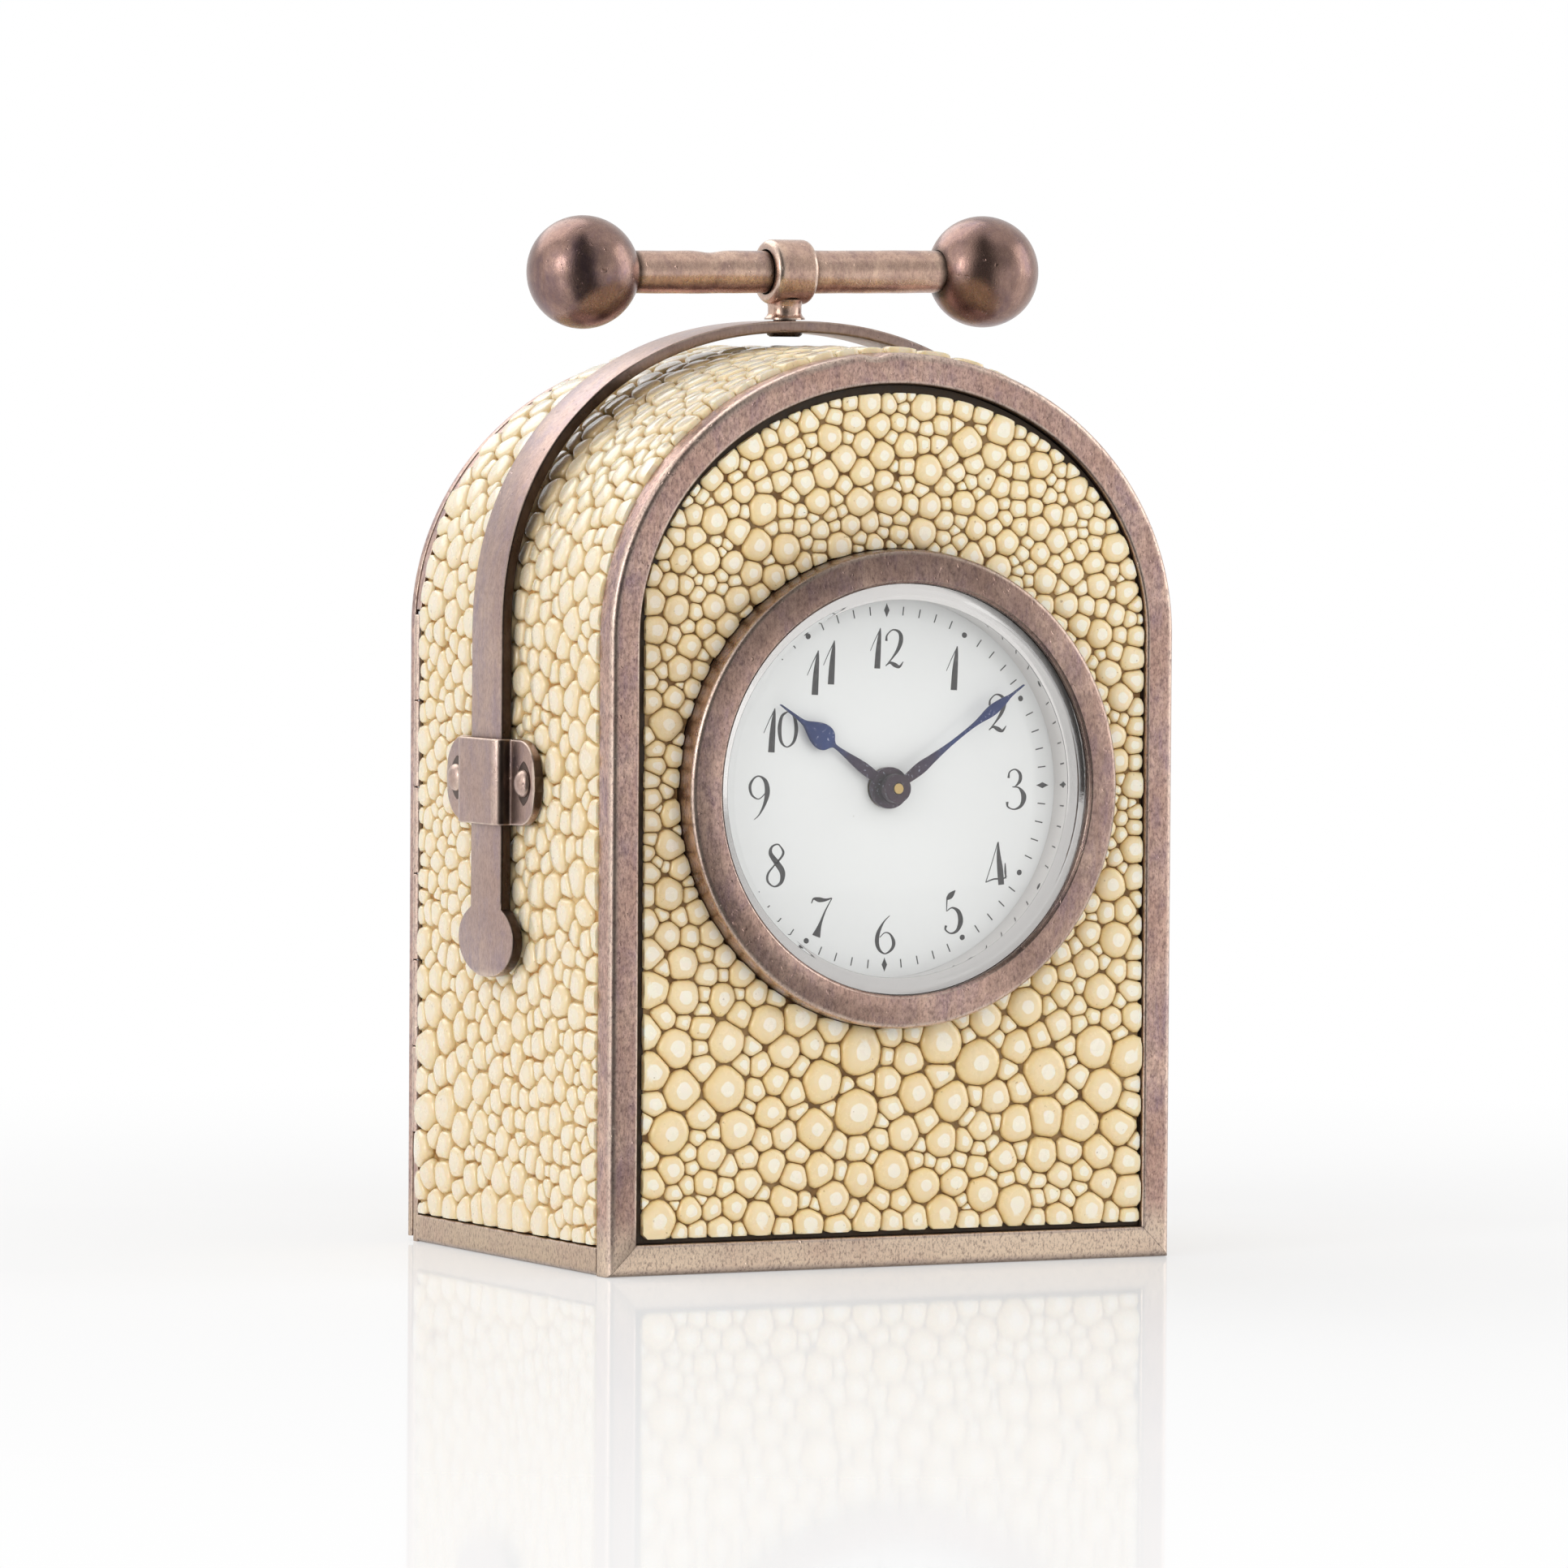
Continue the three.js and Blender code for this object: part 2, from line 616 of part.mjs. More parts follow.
// Bezel, bevelled glass and the ring behind it
const bezelBore = crystalRadius + seatGap;
const bezelBackY = boardFrontY - seatGap;
const bezelEdge = bezelRadius - bezelRound;
piece("bezel", turned([
  [sightRadius, bezelFrontY], [bezelEdge, bezelFrontY], [bezelRadius, bezelFrontY + bezelRound],
  [bezelRadius, bezelBackY], [bezelBore, bezelBackY], [bezelBore, bezelFrontY + bezelLip],
  [sightRadius, bezelFrontY + bezelLip], [sightRadius, bezelFrontY],
], { segments: ringSegments }), "silver", movement);
piece("crystal", turned([
  [0, crystalFrontY], [sightRadius - crystalBevel, crystalFrontY], [sightRadius - seatGap, crystalSeatY],
  [crystalRadius, crystalSeatY], [crystalRadius, crystalBackY], [0, crystalBackY],
], { segments: ringSegments }), "glass", movement);
piece("sight_ring", tube(crystalRadius, crystalRadius - sightRingWall,
  crystalBackY + seatGap, dialY - seatGap, { segments: ringSegments }), "silver", movement);
piece("dial", tube(dialRadius, dialHole, dialY, dialBackY, { segments: ringSegments }), "enamel", movement);

// Ring that holds the movement, screwed to the back of the front board
const flangeFrontY = boardBackY + seatGap;
const flangeRearY = flangeFrontY + ringFlangeThickness;
const ringRearY = frontPlateY - seatGap;
const shoulderY = dialBackY + seatGap;
const shoulderRadius = ringInner - ringShoulder;
const flangeHoles = screwPlaces.map(({ x, z }) => hole(screwRadius + seatGap, flangeFrontY - cutPast,
  flangeRearY + cutPast, { segments: 8, at: [x, 0, z] }));
piece("movement_ring", cut(turned([
  [ringInner, dialY], [ringOuter, dialY], [ringOuter, flangeFrontY], [flangeRadius, flangeFrontY],
  [flangeRadius, flangeRearY], [ringOuter, flangeRearY], [ringOuter, ringRearY], [shoulderRadius, ringRearY],
  [shoulderRadius, shoulderY], [ringInner, shoulderY], [ringInner, dialY],
], { segments: ringSegments }), ...flangeHoles), "brass", movement);
screwPlaces.forEach(({ x, z }, index) => {
  const head = flangeRearY + seatGap;
  const profile = [[0, boardBackY - screwGrip], [screwRadius, boardBackY - screwGrip], [screwRadius, head],
    [screwHeadRadius, head], [screwHeadRadius, head + screwHeadHeight], [0, head + screwHeadHeight]];
  piece(`movement_screw_${index + 1}`, turned(profile, { segments: 8, at: [x, 0, z] }), "steel", movement);
});

// Arbor places: each lies at the sum of the two pitch radii from the one before
const meshDistance = (module, wheel, pinion) => module * (wheel + pinion) / 2;

function placeFrom(start, distance, direction) {
  const angle = radians(direction);
  return { x: start.x + distance * Math.cos(angle), z: start.z + distance * Math.sin(angle) };
}

const centreAt = { x: 0, z: 0 };
const barrelDistance = meshDistance(barrelModule, barrelTeeth, centrePinionTeeth);
const barrelAt = placeFrom(centreAt, barrelDistance, barrelDirection);
const thirdAt = placeFrom(centreAt, meshDistance(centreModule, centreTeeth, pinionTeeth), thirdDirection);
const fourthAt = placeFrom(thirdAt, meshDistance(thirdModule, thirdTeeth, pinionTeeth), fourthDirection);
const escapeAt = placeFrom(fourthAt, meshDistance(fourthModule, fourthTeeth, pinionTeeth), escapeDirection);
const palletAt = placeFrom(escapeAt, escapeToPallet, palletDirection);
const balanceAt = placeFrom(palletAt, palletToBalance, balanceDirection);
const motionDistance = meshDistance(motionModule, minuteWheelTeeth, cannonTeeth);
const hourModule = 2 * motionDistance / (hourTeeth + minutePinionTeeth);
const minuteWheelAt = placeFrom(centreAt, motionDistance, minuteWheelDirection);

function arborGroup({ x, z }) {
  const group = new THREE.Group();
  group.position.set(x, 0, z);
  movement.add(group);
  return group;
}

// Gears: straight-sided pointed teeth, with the phase giving the direction of one tooth
function gearOutline(teeth, module, tooth, phase) {
  const pitchRadius = module * teeth / 2;
  const root = pitchRadius - tooth.down * module;
  const tip = pitchRadius + tooth.up * module;
  const points = [];
  for (let index = 0; index < teeth; index += 1) {
    const corners = [[root, -tooth.root], [tip, 0], [root, tooth.root]];
    const shared = tooth.root === 1 ? 1 : 0; // full-width teeth share their root points
    for (const [radius, share] of corners.slice(shared)) {
      const angle = radians(phase) + 2 * Math.PI * (index + share / 2) / teeth;
      points.push([radius * Math.cos(angle), radius * Math.sin(angle)]);
    }
  }
  return polygon(points);
}

const pinionPhase = (direction, teeth) => direction + 180 + 180 / teeth;

// Openings between the arms of a wheel
function armWindows(hub, rim, arms, arm) {
  return [...Array(arms).keys()].map((index) => {
    const start = 2 * Math.PI * index / arms;
    const end = start + 2 * Math.PI / arms;
    const window = new THREE.Path();
    window.absarc(0, 0, rim, start + arm / 2 / rim, end - arm / 2 / rim, false);
    window.absarc(0, 0, hub, end - arm / 2 / hub, start + arm / 2 / hub, true);
    return window;
  });
}

function wheel({ teeth, module, phase, bore, front }) {
  const outline = gearOutline(teeth, module, wheelTooth, phase);
  const rim = module * (teeth / 2 - wheelTooth.down) - wheelRim;
  if (rim > 2 * wheelHub) outline.holes.push(...armWindows(wheelHub, rim, wheelArms, wheelArm));
  const rear = front + wheelThickness;
  return cut(plate(outline, front, rear, { segments: 2 }),
    hole(bore, front - cutPast, rear + cutPast));
}

const pinion = (teeth, module, phase, front, rear) =>
  plate(gearOutline(teeth, module, pinionTooth, phase), front, rear);

// Depths of the wheels between the plates
const barrelFrontY = trainFrontY + endShake;
const barrelRearY = barrelFrontY + barrelLength;
const centreWheelY = barrelRearY + wheelClear;
const thirdWheelY = trainFrontY + 2 * wheelClear;
const fourthWheelY = thirdWheelY + wheelThickness + (centreWheelY - thirdWheelY - wheelThickness) / 2;
const escapeWheelY = trainRearY - wheelClear - 1.5 * wheelThickness;

function arbor(radius, rearPivot = backPlateY - pivotInset, rearShoulder = trainRearY - runGap) {
  return turned([[0, frontPlateY + pivotInset], [pivotRadius, frontPlateY + pivotInset],
    [pivotRadius, trainFrontY + runGap], [radius, trainFrontY + runGap], [radius, rearShoulder],
    [pivotRadius, rearShoulder], [pivotRadius, rearPivot], [0, rearPivot]], { segments: 8 });
}

// Plates, pillars and the stud of the minute wheel
const centrePipeRadius = handArborRadius + centrePipeWall;
const pivotHole = pivotRadius + runGap;
const staffHole = rollerRadius + runGap;
const pillarPlaces = [0, 120, 240].map((angle) => placeFrom(centreAt, pillarCircle, angle));

function movementPlate(front, rear, balanceHole) {
  const places = [
    { ...centreAt, radius: centrePipeRadius + runGap },
    { ...barrelAt, radius: barrelArborRadius + runGap },
    ...[thirdAt, fourthAt, escapeAt, palletAt].map((at) => ({ ...at, radius: pivotHole })),
    { ...balanceAt, radius: balanceHole },
    ...pillarPlaces.map((at) => ({ ...at, radius: pillarTenon + seatGap })),
  ];
  return cut(rod(plateRadius, front, rear, { segments: ringSegments }), ...places.map(({ x, z, radius }) =>
    hole(radius, front - cutPast, rear + cutPast, { segments: 8, at: [x, 0, z] })));
}

const minutePinionRear = frontPlateY - 2 * runGap;
const minuteStudFront = dialBackY + wheelClear;
const minuteStud = rod(minuteStudRadius, minuteStudFront, frontPlateY + seatGap,
  { segments: 12, at: [minuteWheelAt.x, 0, minuteWheelAt.z] });
piece("front_plate", join(movementPlate(frontPlateY, trainFrontY, pivotHole), minuteStud), "brass", movement);
piece("back_plate", movementPlate(trainRearY, backPlateY, staffHole), "brass", movement);
pillarPlaces.forEach(({ x, z }, index) => {
  const profile = [[0, frontPlateY + pivotInset], [pillarTenon, frontPlateY + pivotInset],
    [pillarTenon, trainFrontY + seatGap], [pillarRadius, trainFrontY + seatGap],
    [pillarRadius, trainRearY - seatGap], [pillarTenon, trainRearY - seatGap],
    [pillarTenon, backPlateY - pivotInset], [0, backPlateY - pivotInset]];
  piece(`pillar_${index + 1}`, turned(profile, { segments: 10, at: [x, 0, z] }), "brass", movement);
});

// Hands and the motion work behind the dial
const cannonBore = handArborRadius + seatGap;
const hourPipeBore = cannonPipeRadius + runGap;
const minuteHandY = dialY - minuteHandLift;
const hourHandY = dialY - hourHandLift;
const cannonRear = frontPlateY - runGap;
const minuteWheelY = minutePinionRear - wheelThickness;
const hourWheelY = minuteWheelY - 2 * wheelClear;
const minuteBossFront = minuteHandY - handThickness - minuteBossHeight / 2;
const minuteBossRear = minuteBossFront + minuteBossHeight;
const hourBossFront = hourHandY - handThickness;
const handArborFront = minuteBossFront - handArborTip;

// A slender hand: pairs of half width, and of distance as a share of the length
function blade(length, stations) {
  const right = stations.map(([half, share]) => new THREE.Vector2(half, share * length));
  const left = stations.map(([half, share]) => new THREE.Vector2(-half, share * length)).reverse();
  const outline = new THREE.Shape();
  outline.moveTo(right[0].x, right[0].y);
  outline.splineThru(right.slice(1));
  outline.lineTo(left[0].x, left[0].y);
  outline.splineThru(left.slice(1));
  outline.closePath();
  return outline;
}

const minuteBlade = blade(minuteHandLength,
  [[0.3, 0.06], [0.5, 0.18], [0.26, 0.36], [0.24, 0.62], [0.42, 0.78], [0.14, 0.93], [0.05, 1]]);
const hourBlade = blade(hourHandLength,
  [[0.35, 0.1], [0.5, 0.24], [0.28, 0.42], [0.4, 0.53], [1.2, 0.66], [0.6, 0.79], [0.18, 0.87], [0.05, 1]]);

function hand(outline, front, angle, boss, bore) {
  const flat = plate(outline, front, front + handThickness, { segments: 2, turn: angle });
  const hub = rod(boss.radius, boss.front, boss.rear, { segments: 12 });
  return cut(join(flat, hub), hole(bore, boss.front - cutPast, boss.rear + cutPast));
}

const settingKnobY = backPlateY + settingKnobReach;
const handArborRear = settingKnobY + settingKnobLength / 2;
piece("centre_arbor", rod(handArborRadius, handArborFront, handArborRear), "brass", movement);
const cannonPipeFront = minuteBossFront + seatGap;
const cannonTeethFront = minuteWheelY - pinionPast / 2;
piece("cannon_pinion", cut(
  join(rod(cannonPipeRadius, cannonPipeFront, cannonRear, { segments: 12 }),
    pinion(cannonTeeth, motionModule, pinionPhase(minuteWheelDirection + 180, cannonTeeth),
      cannonTeethFront, cannonRear)),
  hole(cannonBore, cannonPipeFront - cutPast, cannonRear + cutPast)), "steel", movement);
piece("minute_hand", hand(minuteBlade, minuteHandY - handThickness, minuteAngle,
  { radius: minuteBossRadius, front: minuteBossFront, rear: minuteBossRear },
  cannonPipeRadius + seatGap), "bluedSteel", movement);
piece("hour_hand", hand(hourBlade, hourHandY - handThickness, hourAngle,
  { radius: hourBossRadius, front: hourBossFront, rear: hourBossFront + hourBossHeight },
  hourPipeRadius + seatGap), "bluedSteel", movement);
piece("hour_wheel", cut(
  join(wheel({ teeth: hourTeeth, module: hourModule, phase: minuteWheelDirection, bore: hourPipeBore,
    front: hourWheelY }),
  rod(hourPipeRadius, hourBossFront, hourWheelY + wheelThickness / 2, { segments: 12 })),
  hole(hourPipeBore, hourBossFront - cutPast, hourWheelY + wheelThickness + cutPast)),
"brass", movement);

const minuteWheelGroup = arborGroup(minuteWheelAt);
const minuteBore = minuteStudRadius + runGap;
const minutePinionFront = hourWheelY - pinionPast / 2;
piece("minute_wheel", cut(
  join(wheel({ teeth: minuteWheelTeeth, module: motionModule, phase: minuteWheelDirection + 180,
    bore: minuteBore, front: minuteWheelY }),
  pinion(minutePinionTeeth, hourModule, pinionPhase(minuteWheelDirection, minutePinionTeeth),
    minutePinionFront, minuteWheelY + wheelThickness / 2)),
  hole(minuteBore, minutePinionFront - cutPast, minutePinionRear + cutPast)),
"brass", minuteWheelGroup);

// Going train
piece("centre_wheel", wheel({ teeth: centreTeeth, module: centreModule, phase: thirdDirection,
  bore: centrePipeRadius + seatGap, front: centreWheelY }), "brass", movement);
const pipeFront = frontPlateY + pivotInset;
const pipeRear = backPlateY - pivotInset;
piece("centre_pinion", cut(
  join(rod(centrePipeRadius, pipeFront, pipeRear, { segments: 12 }),
    pinion(centrePinionTeeth, barrelModule, pinionPhase(barrelDirection + 180, centrePinionTeeth),
      barrelFrontY - pinionPast, barrelFrontY + barrelFlange + pinionPast)),
  hole(handArborRadius + runGap, pipeFront - cutPast, pipeRear + cutPast)), "steel", movement);

function trainPair(name, at, pinionShape, wheelShape, radius) {
  const group = arborGroup(at);
  piece(`${name}_pinion`, join(arbor(radius), pinionShape), "steel", group);
  piece(`${name}_wheel`, wheelShape, "brass", group);
}

trainPair("third", thirdAt,
  pinion(pinionTeeth, centreModule, pinionPhase(thirdDirection, pinionTeeth),
    centreWheelY - pinionPast, centreWheelY + wheelThickness + pinionPast),
  wheel({ teeth: thirdTeeth, module: thirdModule, phase: fourthDirection,
    bore: thirdArborRadius + seatGap, front: thirdWheelY }), thirdArborRadius);
trainPair("fourth", fourthAt,
  pinion(pinionTeeth, thirdModule, pinionPhase(fourthDirection, pinionTeeth),
    thirdWheelY - pinionPast, thirdWheelY + wheelThickness + pinionPast),
  wheel({ teeth: fourthTeeth, module: fourthModule, phase: escapeDirection,
    bore: fourthArborRadius + seatGap, front: fourthWheelY }), fourthArborRadius);

// Barrel with its mainspring, and the arbor that winds it
const barrelGroup = arborGroup(barrelAt);
const barrelBore = barrelArborRadius + runGap;
const cavityRadius = barrelRadius - barrelWall;
const cavityFrontY = barrelFrontY + barrelWall;
const cavityRearY = barrelRearY - barrelWall;
const drum = turned([
  [0, barrelFrontY], [barrelRadius, barrelFrontY], [barrelRadius, barrelRearY], [0, barrelRearY],
], { segments: 32 });
const barrelRing = plate(gearOutline(barrelTeeth, barrelModule, wheelTooth, barrelDirection + 180),
  barrelFrontY, barrelFrontY + barrelFlange);
piece("barrel", cut(join(drum, barrelRing), rod(cavityRadius, cavityFrontY, cavityRearY, { segments: 12 }),
  hole(barrelBore, barrelFrontY - cutPast, barrelRearY + cutPast)), "brass", barrelGroup);

const turnSteps = 10;

// A flat spiral spring, with its least gap between turns measured along its middle line
function spiral(name, inner, outer, turns, thickness, front, rear) {
  const steps = turns * turnSteps;
  const line = [...Array(steps + 1).keys()].map((step) => {
    const angle = 2 * Math.PI * turns * step / steps;
    return { radius: inner + (outer - inner) * step / steps, angle };
  });
  const side = (offset) => line.map(({ radius, angle }) =>
    [(radius + offset) * Math.cos(angle), (radius + offset) * Math.sin(angle)]);
  const gaps = line.slice(turnSteps).map(({ radius }, index) => radius - line[index].radius - thickness);
  console.log(`${name} least gap between turns: ${Math.min(...gaps).toFixed(2)} mm`);
  return plate(polygon([...side(thickness / 2), ...side(-thickness / 2).reverse()]), front, rear);
}

piece("mainspring", spiral("mainspring", barrelHubRadius + mainspringClearance,
  cavityRadius - mainspringClearance, mainspringTurns, mainspringThickness,
  cavityFrontY + mainspringClearance, cavityRearY - mainspringClearance), "steel", barrelGroup);
const windingKnobY = backPlateY + windingKnobReach;
const windingEnd = windingKnobY + windingKnobLength / 2;
const ratchetY = backPlateY + 2 * runGap;
piece("barrel_arbor", turned([
  [0, frontPlateY + pivotInset], [barrelArborRadius, frontPlateY + pivotInset],
  [barrelArborRadius, cavityFrontY + runGap], [barrelHubRadius, cavityFrontY + runGap],
  [barrelHubRadius, cavityRearY - runGap], [barrelArborRadius, cavityRearY - runGap],
  [barrelArborRadius, windingEnd], [0, windingEnd],
], { segments: 12 }), "steel", barrelGroup);

function ratchetOutline() {
  const points = [];
  for (let index = 0; index < ratchetTeeth; index += 1) {
    const angle = 2 * Math.PI * index / ratchetTeeth;
    const root = ratchetRadius - ratchetToothDepth;
    points.push([ratchetRadius * Math.cos(angle), ratchetRadius * Math.sin(angle)]);
    points.push([root * Math.cos(angle), root * Math.sin(angle)]);
  }
  return polygon(points.reverse());
}

const arborSeat = (from, to) => hole(barrelArborRadius + seatGap, from - cutPast, to);
piece("ratchet_wheel", cut(plate(ratchetOutline(), ratchetY, ratchetY + wheelThickness),
  arborSeat(ratchetY, ratchetY + wheelThickness + cutPast)), "steel", barrelGroup);

// A knob with a finely grooved edge and a blind bore for its arbor
function knob(radius, front, length, boreCut) {
  const grooves = Math.round(2 * Math.PI * radius / knobGroovePitch);
  const edge = [];
  for (let index = 0; index < 2 * grooves; index += 1) {
    const angle = Math.PI * index / grooves;
    const reach = radius - (index % 2) * knobGrooveDepth;
    edge.push([reach * Math.cos(angle), reach * Math.sin(angle)]);
  }
  const rear = front + length;
  const faceRadius = radius - 2 * knobChamfer;
  const coreRadius = radius - knobChamfer;
  const core = turned([[0, front], [faceRadius, front], [coreRadius, front + knobChamfer],
    [coreRadius, rear - knobChamfer], [faceRadius, rear], [0, rear]], { segments: 20 });
  return cut(join(plate(polygon(edge), front + knobChamfer, rear - knobChamfer), core), boreCut);
}

piece("winding_knob", knob(windingKnobRadius, windingKnobY, windingKnobLength,
  arborSeat(windingKnobY, windingEnd + seatGap)), "brass", barrelGroup);
piece("setting_knob", knob(settingKnobRadius, settingKnobY, settingKnobLength,
  hole(handArborRadius + seatGap, settingKnobY - cutPast, handArborRear + seatGap)), "brass", movement);

// Click beside the ratchet wheel, just clear of its teeth
const clickTip = placeFrom({ x: 0, z: 0 }, ratchetRadius + 2 * slideGap, clickDirection + clickSpan);
const clickPivot = placeFrom({ x: 0, z: 0 }, clickReach, clickDirection);
const clickY = backPlateY + seatGap;
const beak = polygon([
  [clickPivot.x - clickRadius / 2, clickPivot.z - clickRadius / 2],
  [clickTip.x, clickTip.z - clickRadius / 2],
  [clickTip.x, clickTip.z], [clickPivot.x, clickPivot.z + clickRadius / 2],
]);
piece("click", join(plate(beak, clickY, clickY + wheelThickness),
  rod(clickRadius, clickY, clickY + wheelThickness, { segments: 16, at: [clickPivot.x, 0, clickPivot.z] })),
"steel", barrelGroup);

// Escapement
const escapeGroup = arborGroup(escapeAt);
const escapeRoot = escapeRadius - escapeToothDepth;

function escapeOutline() {
  const points = [];
  for (let index = 0; index < escapeTeeth; index += 1) {
    const angle = 2 * Math.PI * index / escapeTeeth;
    const corners = [[escapeRoot, 0], [escapeRadius, 0.12], [escapeRadius, 0.2], [escapeRoot, 0.35]];
    for (const [radius, share] of corners) {
      const turn = angle + 2 * Math.PI * share / escapeTeeth;
      points.push([radius * Math.cos(turn), radius * Math.sin(turn)]);
    }
  }
  const outline = polygon(points);
  outline.holes.push(...armWindows(wheelHub / 2, escapeRoot - wheelRim / 2, wheelArms, wheelArm / 2));
  return outline;
}

piece("escape_wheel", join(arbor(escapeArborRadius),
  pinion(pinionTeeth, fourthModule, pinionPhase(escapeDirection, pinionTeeth),
    fourthWheelY - pinionPast, fourthWheelY + wheelThickness + pinionPast),
  plate(escapeOutline(), escapeWheelY, escapeWheelY + wheelThickness, { segments: 2 })),
"brass", escapeGroup);

// A straight bar between two points, seen from the front
function bar(from, to, width, front, rear) {
  const length = Math.hypot(to.x - from.x, to.z - from.z);
  const across = { x: -(to.z - from.z) / length * width / 2, z: (to.x - from.x) / length * width / 2 };
  return plate(polygon([
    [from.x - across.x, from.z - across.z], [to.x - across.x, to.z - across.z],
    [to.x + across.x, to.z + across.z], [from.x + across.x, from.z + across.z],
  ]), front, rear);
}

const origin = { x: 0, z: 0 };
const palletGroup = arborGroup(palletAt);
const palletRear = escapeWheelY + wheelThickness;
const escapeFromPallet = placeFrom(origin, escapeToPallet, palletDirection + 180);
const forkReach = palletToBalance - rollerRadius - slideGap;
const palletArms = [-palletSpread, palletSpread].map((spread) => {
  const stone = placeFrom(escapeFromPallet, escapeToPallet, palletDirection + spread);
  return bar(origin, stone, palletWidth, escapeWheelY, palletRear);
});
piece("pallet_fork", join(arbor(palletArborRadius), ...palletArms,
  rod(palletHub, escapeWheelY, palletRear, { segments: 12 }),
  bar(origin, placeFrom(origin, forkReach, balanceDirection), palletWidth, escapeWheelY, palletRear)),
"steel", palletGroup);

// Balance with its staff and roller, the hairspring and the cock that carries them
const balanceGroup = arborGroup(balanceAt);
const balanceY = backPlateY + balanceLift;
const balanceRearY = balanceY + balanceThickness;
const hairspringY = balanceRearY + balanceHub / 3;
const cockY = hairspringY + hairspringWidth + balanceHub / 2;
const armHalf = balanceRadius - balanceRim / 2;
piece("balance", join(
  tube(balanceRadius, balanceRadius - balanceRim, balanceY, balanceRearY, { segments: 28 }),
  box([-armHalf, balanceY, -balanceArm / 2], [armHalf, balanceRearY, balanceArm / 2]),
  rod(balanceHub, balanceY - runGap, balanceRearY, { segments: 10 }),
  rod(rollerRadius, escapeWheelY, palletRear, { segments: 10 }),
  arbor(staffRadius, cockY + cockThickness / 2, cockY - runGap)), "brass", balanceGroup);
piece("hairspring", spiral("hairspring", balanceHub, hairspringOuter, hairspringTurns, hairspringThickness,
  hairspringY, hairspringY + hairspringWidth), "bluedSteel", balanceGroup);
const footFromBalance = placeFrom(origin, cockReach, cockDirection);
const cockRearY = cockY + cockThickness;
piece("balance_cock", cut(join(
  rod(cockFoot, backPlateY + seatGap, cockRearY,
    { segments: 24, at: [footFromBalance.x, 0, footFromBalance.z] }),
  bar(origin, footFromBalance, cockArm, cockY, cockRearY),
  rod(cockFoot, cockY, cockRearY, { segments: 12 })),
hole(pivotHole, cockY - cutPast, cockRearY + cutPast)), "brass", balanceGroup);

export default clock;
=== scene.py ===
"""Miniature desk clock: the dressed model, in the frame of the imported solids. Sizes are millimetres."""
from math import asin, cos, pi, radians, sin, sqrt

import bmesh
import bpy
import numpy as np
from mathutils import Matrix, Vector


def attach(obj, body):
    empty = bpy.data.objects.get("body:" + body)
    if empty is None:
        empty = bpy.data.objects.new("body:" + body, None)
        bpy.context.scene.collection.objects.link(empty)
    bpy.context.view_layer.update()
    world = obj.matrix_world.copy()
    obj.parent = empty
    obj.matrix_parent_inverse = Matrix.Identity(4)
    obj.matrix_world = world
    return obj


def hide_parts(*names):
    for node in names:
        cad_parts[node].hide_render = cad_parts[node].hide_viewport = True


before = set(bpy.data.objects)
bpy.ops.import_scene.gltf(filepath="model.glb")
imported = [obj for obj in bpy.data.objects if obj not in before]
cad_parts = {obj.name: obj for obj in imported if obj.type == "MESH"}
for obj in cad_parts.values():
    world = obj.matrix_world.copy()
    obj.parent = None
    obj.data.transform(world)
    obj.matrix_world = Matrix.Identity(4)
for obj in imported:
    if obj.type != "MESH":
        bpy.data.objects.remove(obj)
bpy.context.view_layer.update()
scene = bpy.context.scene
scene.view_settings.view_transform = "Standard"

MM = 0.001  # Blender works in metres

# Main sizes, as in the solids
HALF, SPRING, RISE = 23.0, 45.9, 20.65  # half width, top of the straight sides, height of the arch
FRONT, REAR = -17.3, 17.3
CENTRE = 34.9  # height of the dial's centre
AT_DIAL = (0, 0, CENTRE)
HINGE = (-22.75, 15.98, 0)
HANDLE_Y = 1.2
BAR_Z, BAR_RADIUS = 72.45, 1.58
BALL_X, BALL_RADIUS = 16.6, 4.17
LEAN = 0.009  # slope of the grip
KEEPER_Z = 35.05
RIVET_Y = 5.7  # from the middle of the strap
BEZEL_RADIUS = 17.4

# The photograph's camera, in degrees, millimetres and pixels
CAMERA_TURN, CAMERA_TILT, CAMERA_ROLL = -26.84, 2.454, 0.378
CAMERA_TARGET, CAMERA_DISTANCE = (-0.40, 0, 34.52), 761.4
FOCAL_PIXELS, PHOTO_PIXELS, SENSOR = 12650.7, 1932, 36
TO_CAMERA = (-0.4515, -0.8923, 0)


# Camera, lights and floor
def make_camera():
    azimuth, elevation, roll = (radians(v) for v in (CAMERA_TURN, CAMERA_TILT, CAMERA_ROLL))
    flat = cos(elevation)
    back = Vector((sin(azimuth) * flat, -cos(azimuth) * flat, sin(elevation)))
    level = Vector((cos(azimuth), sin(azimuth), 0))
    rise = back.cross(level)
    right = level * cos(roll) + rise * sin(roll)
    up = rise * cos(roll) - level * sin(roll)
    data = bpy.data.cameras.new("camera")
    data.sensor_width = SENSOR
    data.lens = SENSOR * FOCAL_PIXELS / PHOTO_PIXELS
    data.clip_start, data.clip_end = 0.01, 50
    camera = bpy.data.objects.new("camera", data)
    scene.collection.objects.link(camera)
    place = Matrix((right, up, back)).transposed().to_4x4()
    place.translation = (Vector(CAMERA_TARGET) + back * CAMERA_DISTANCE) * MM
    camera.matrix_world = place
    scene.camera = camera


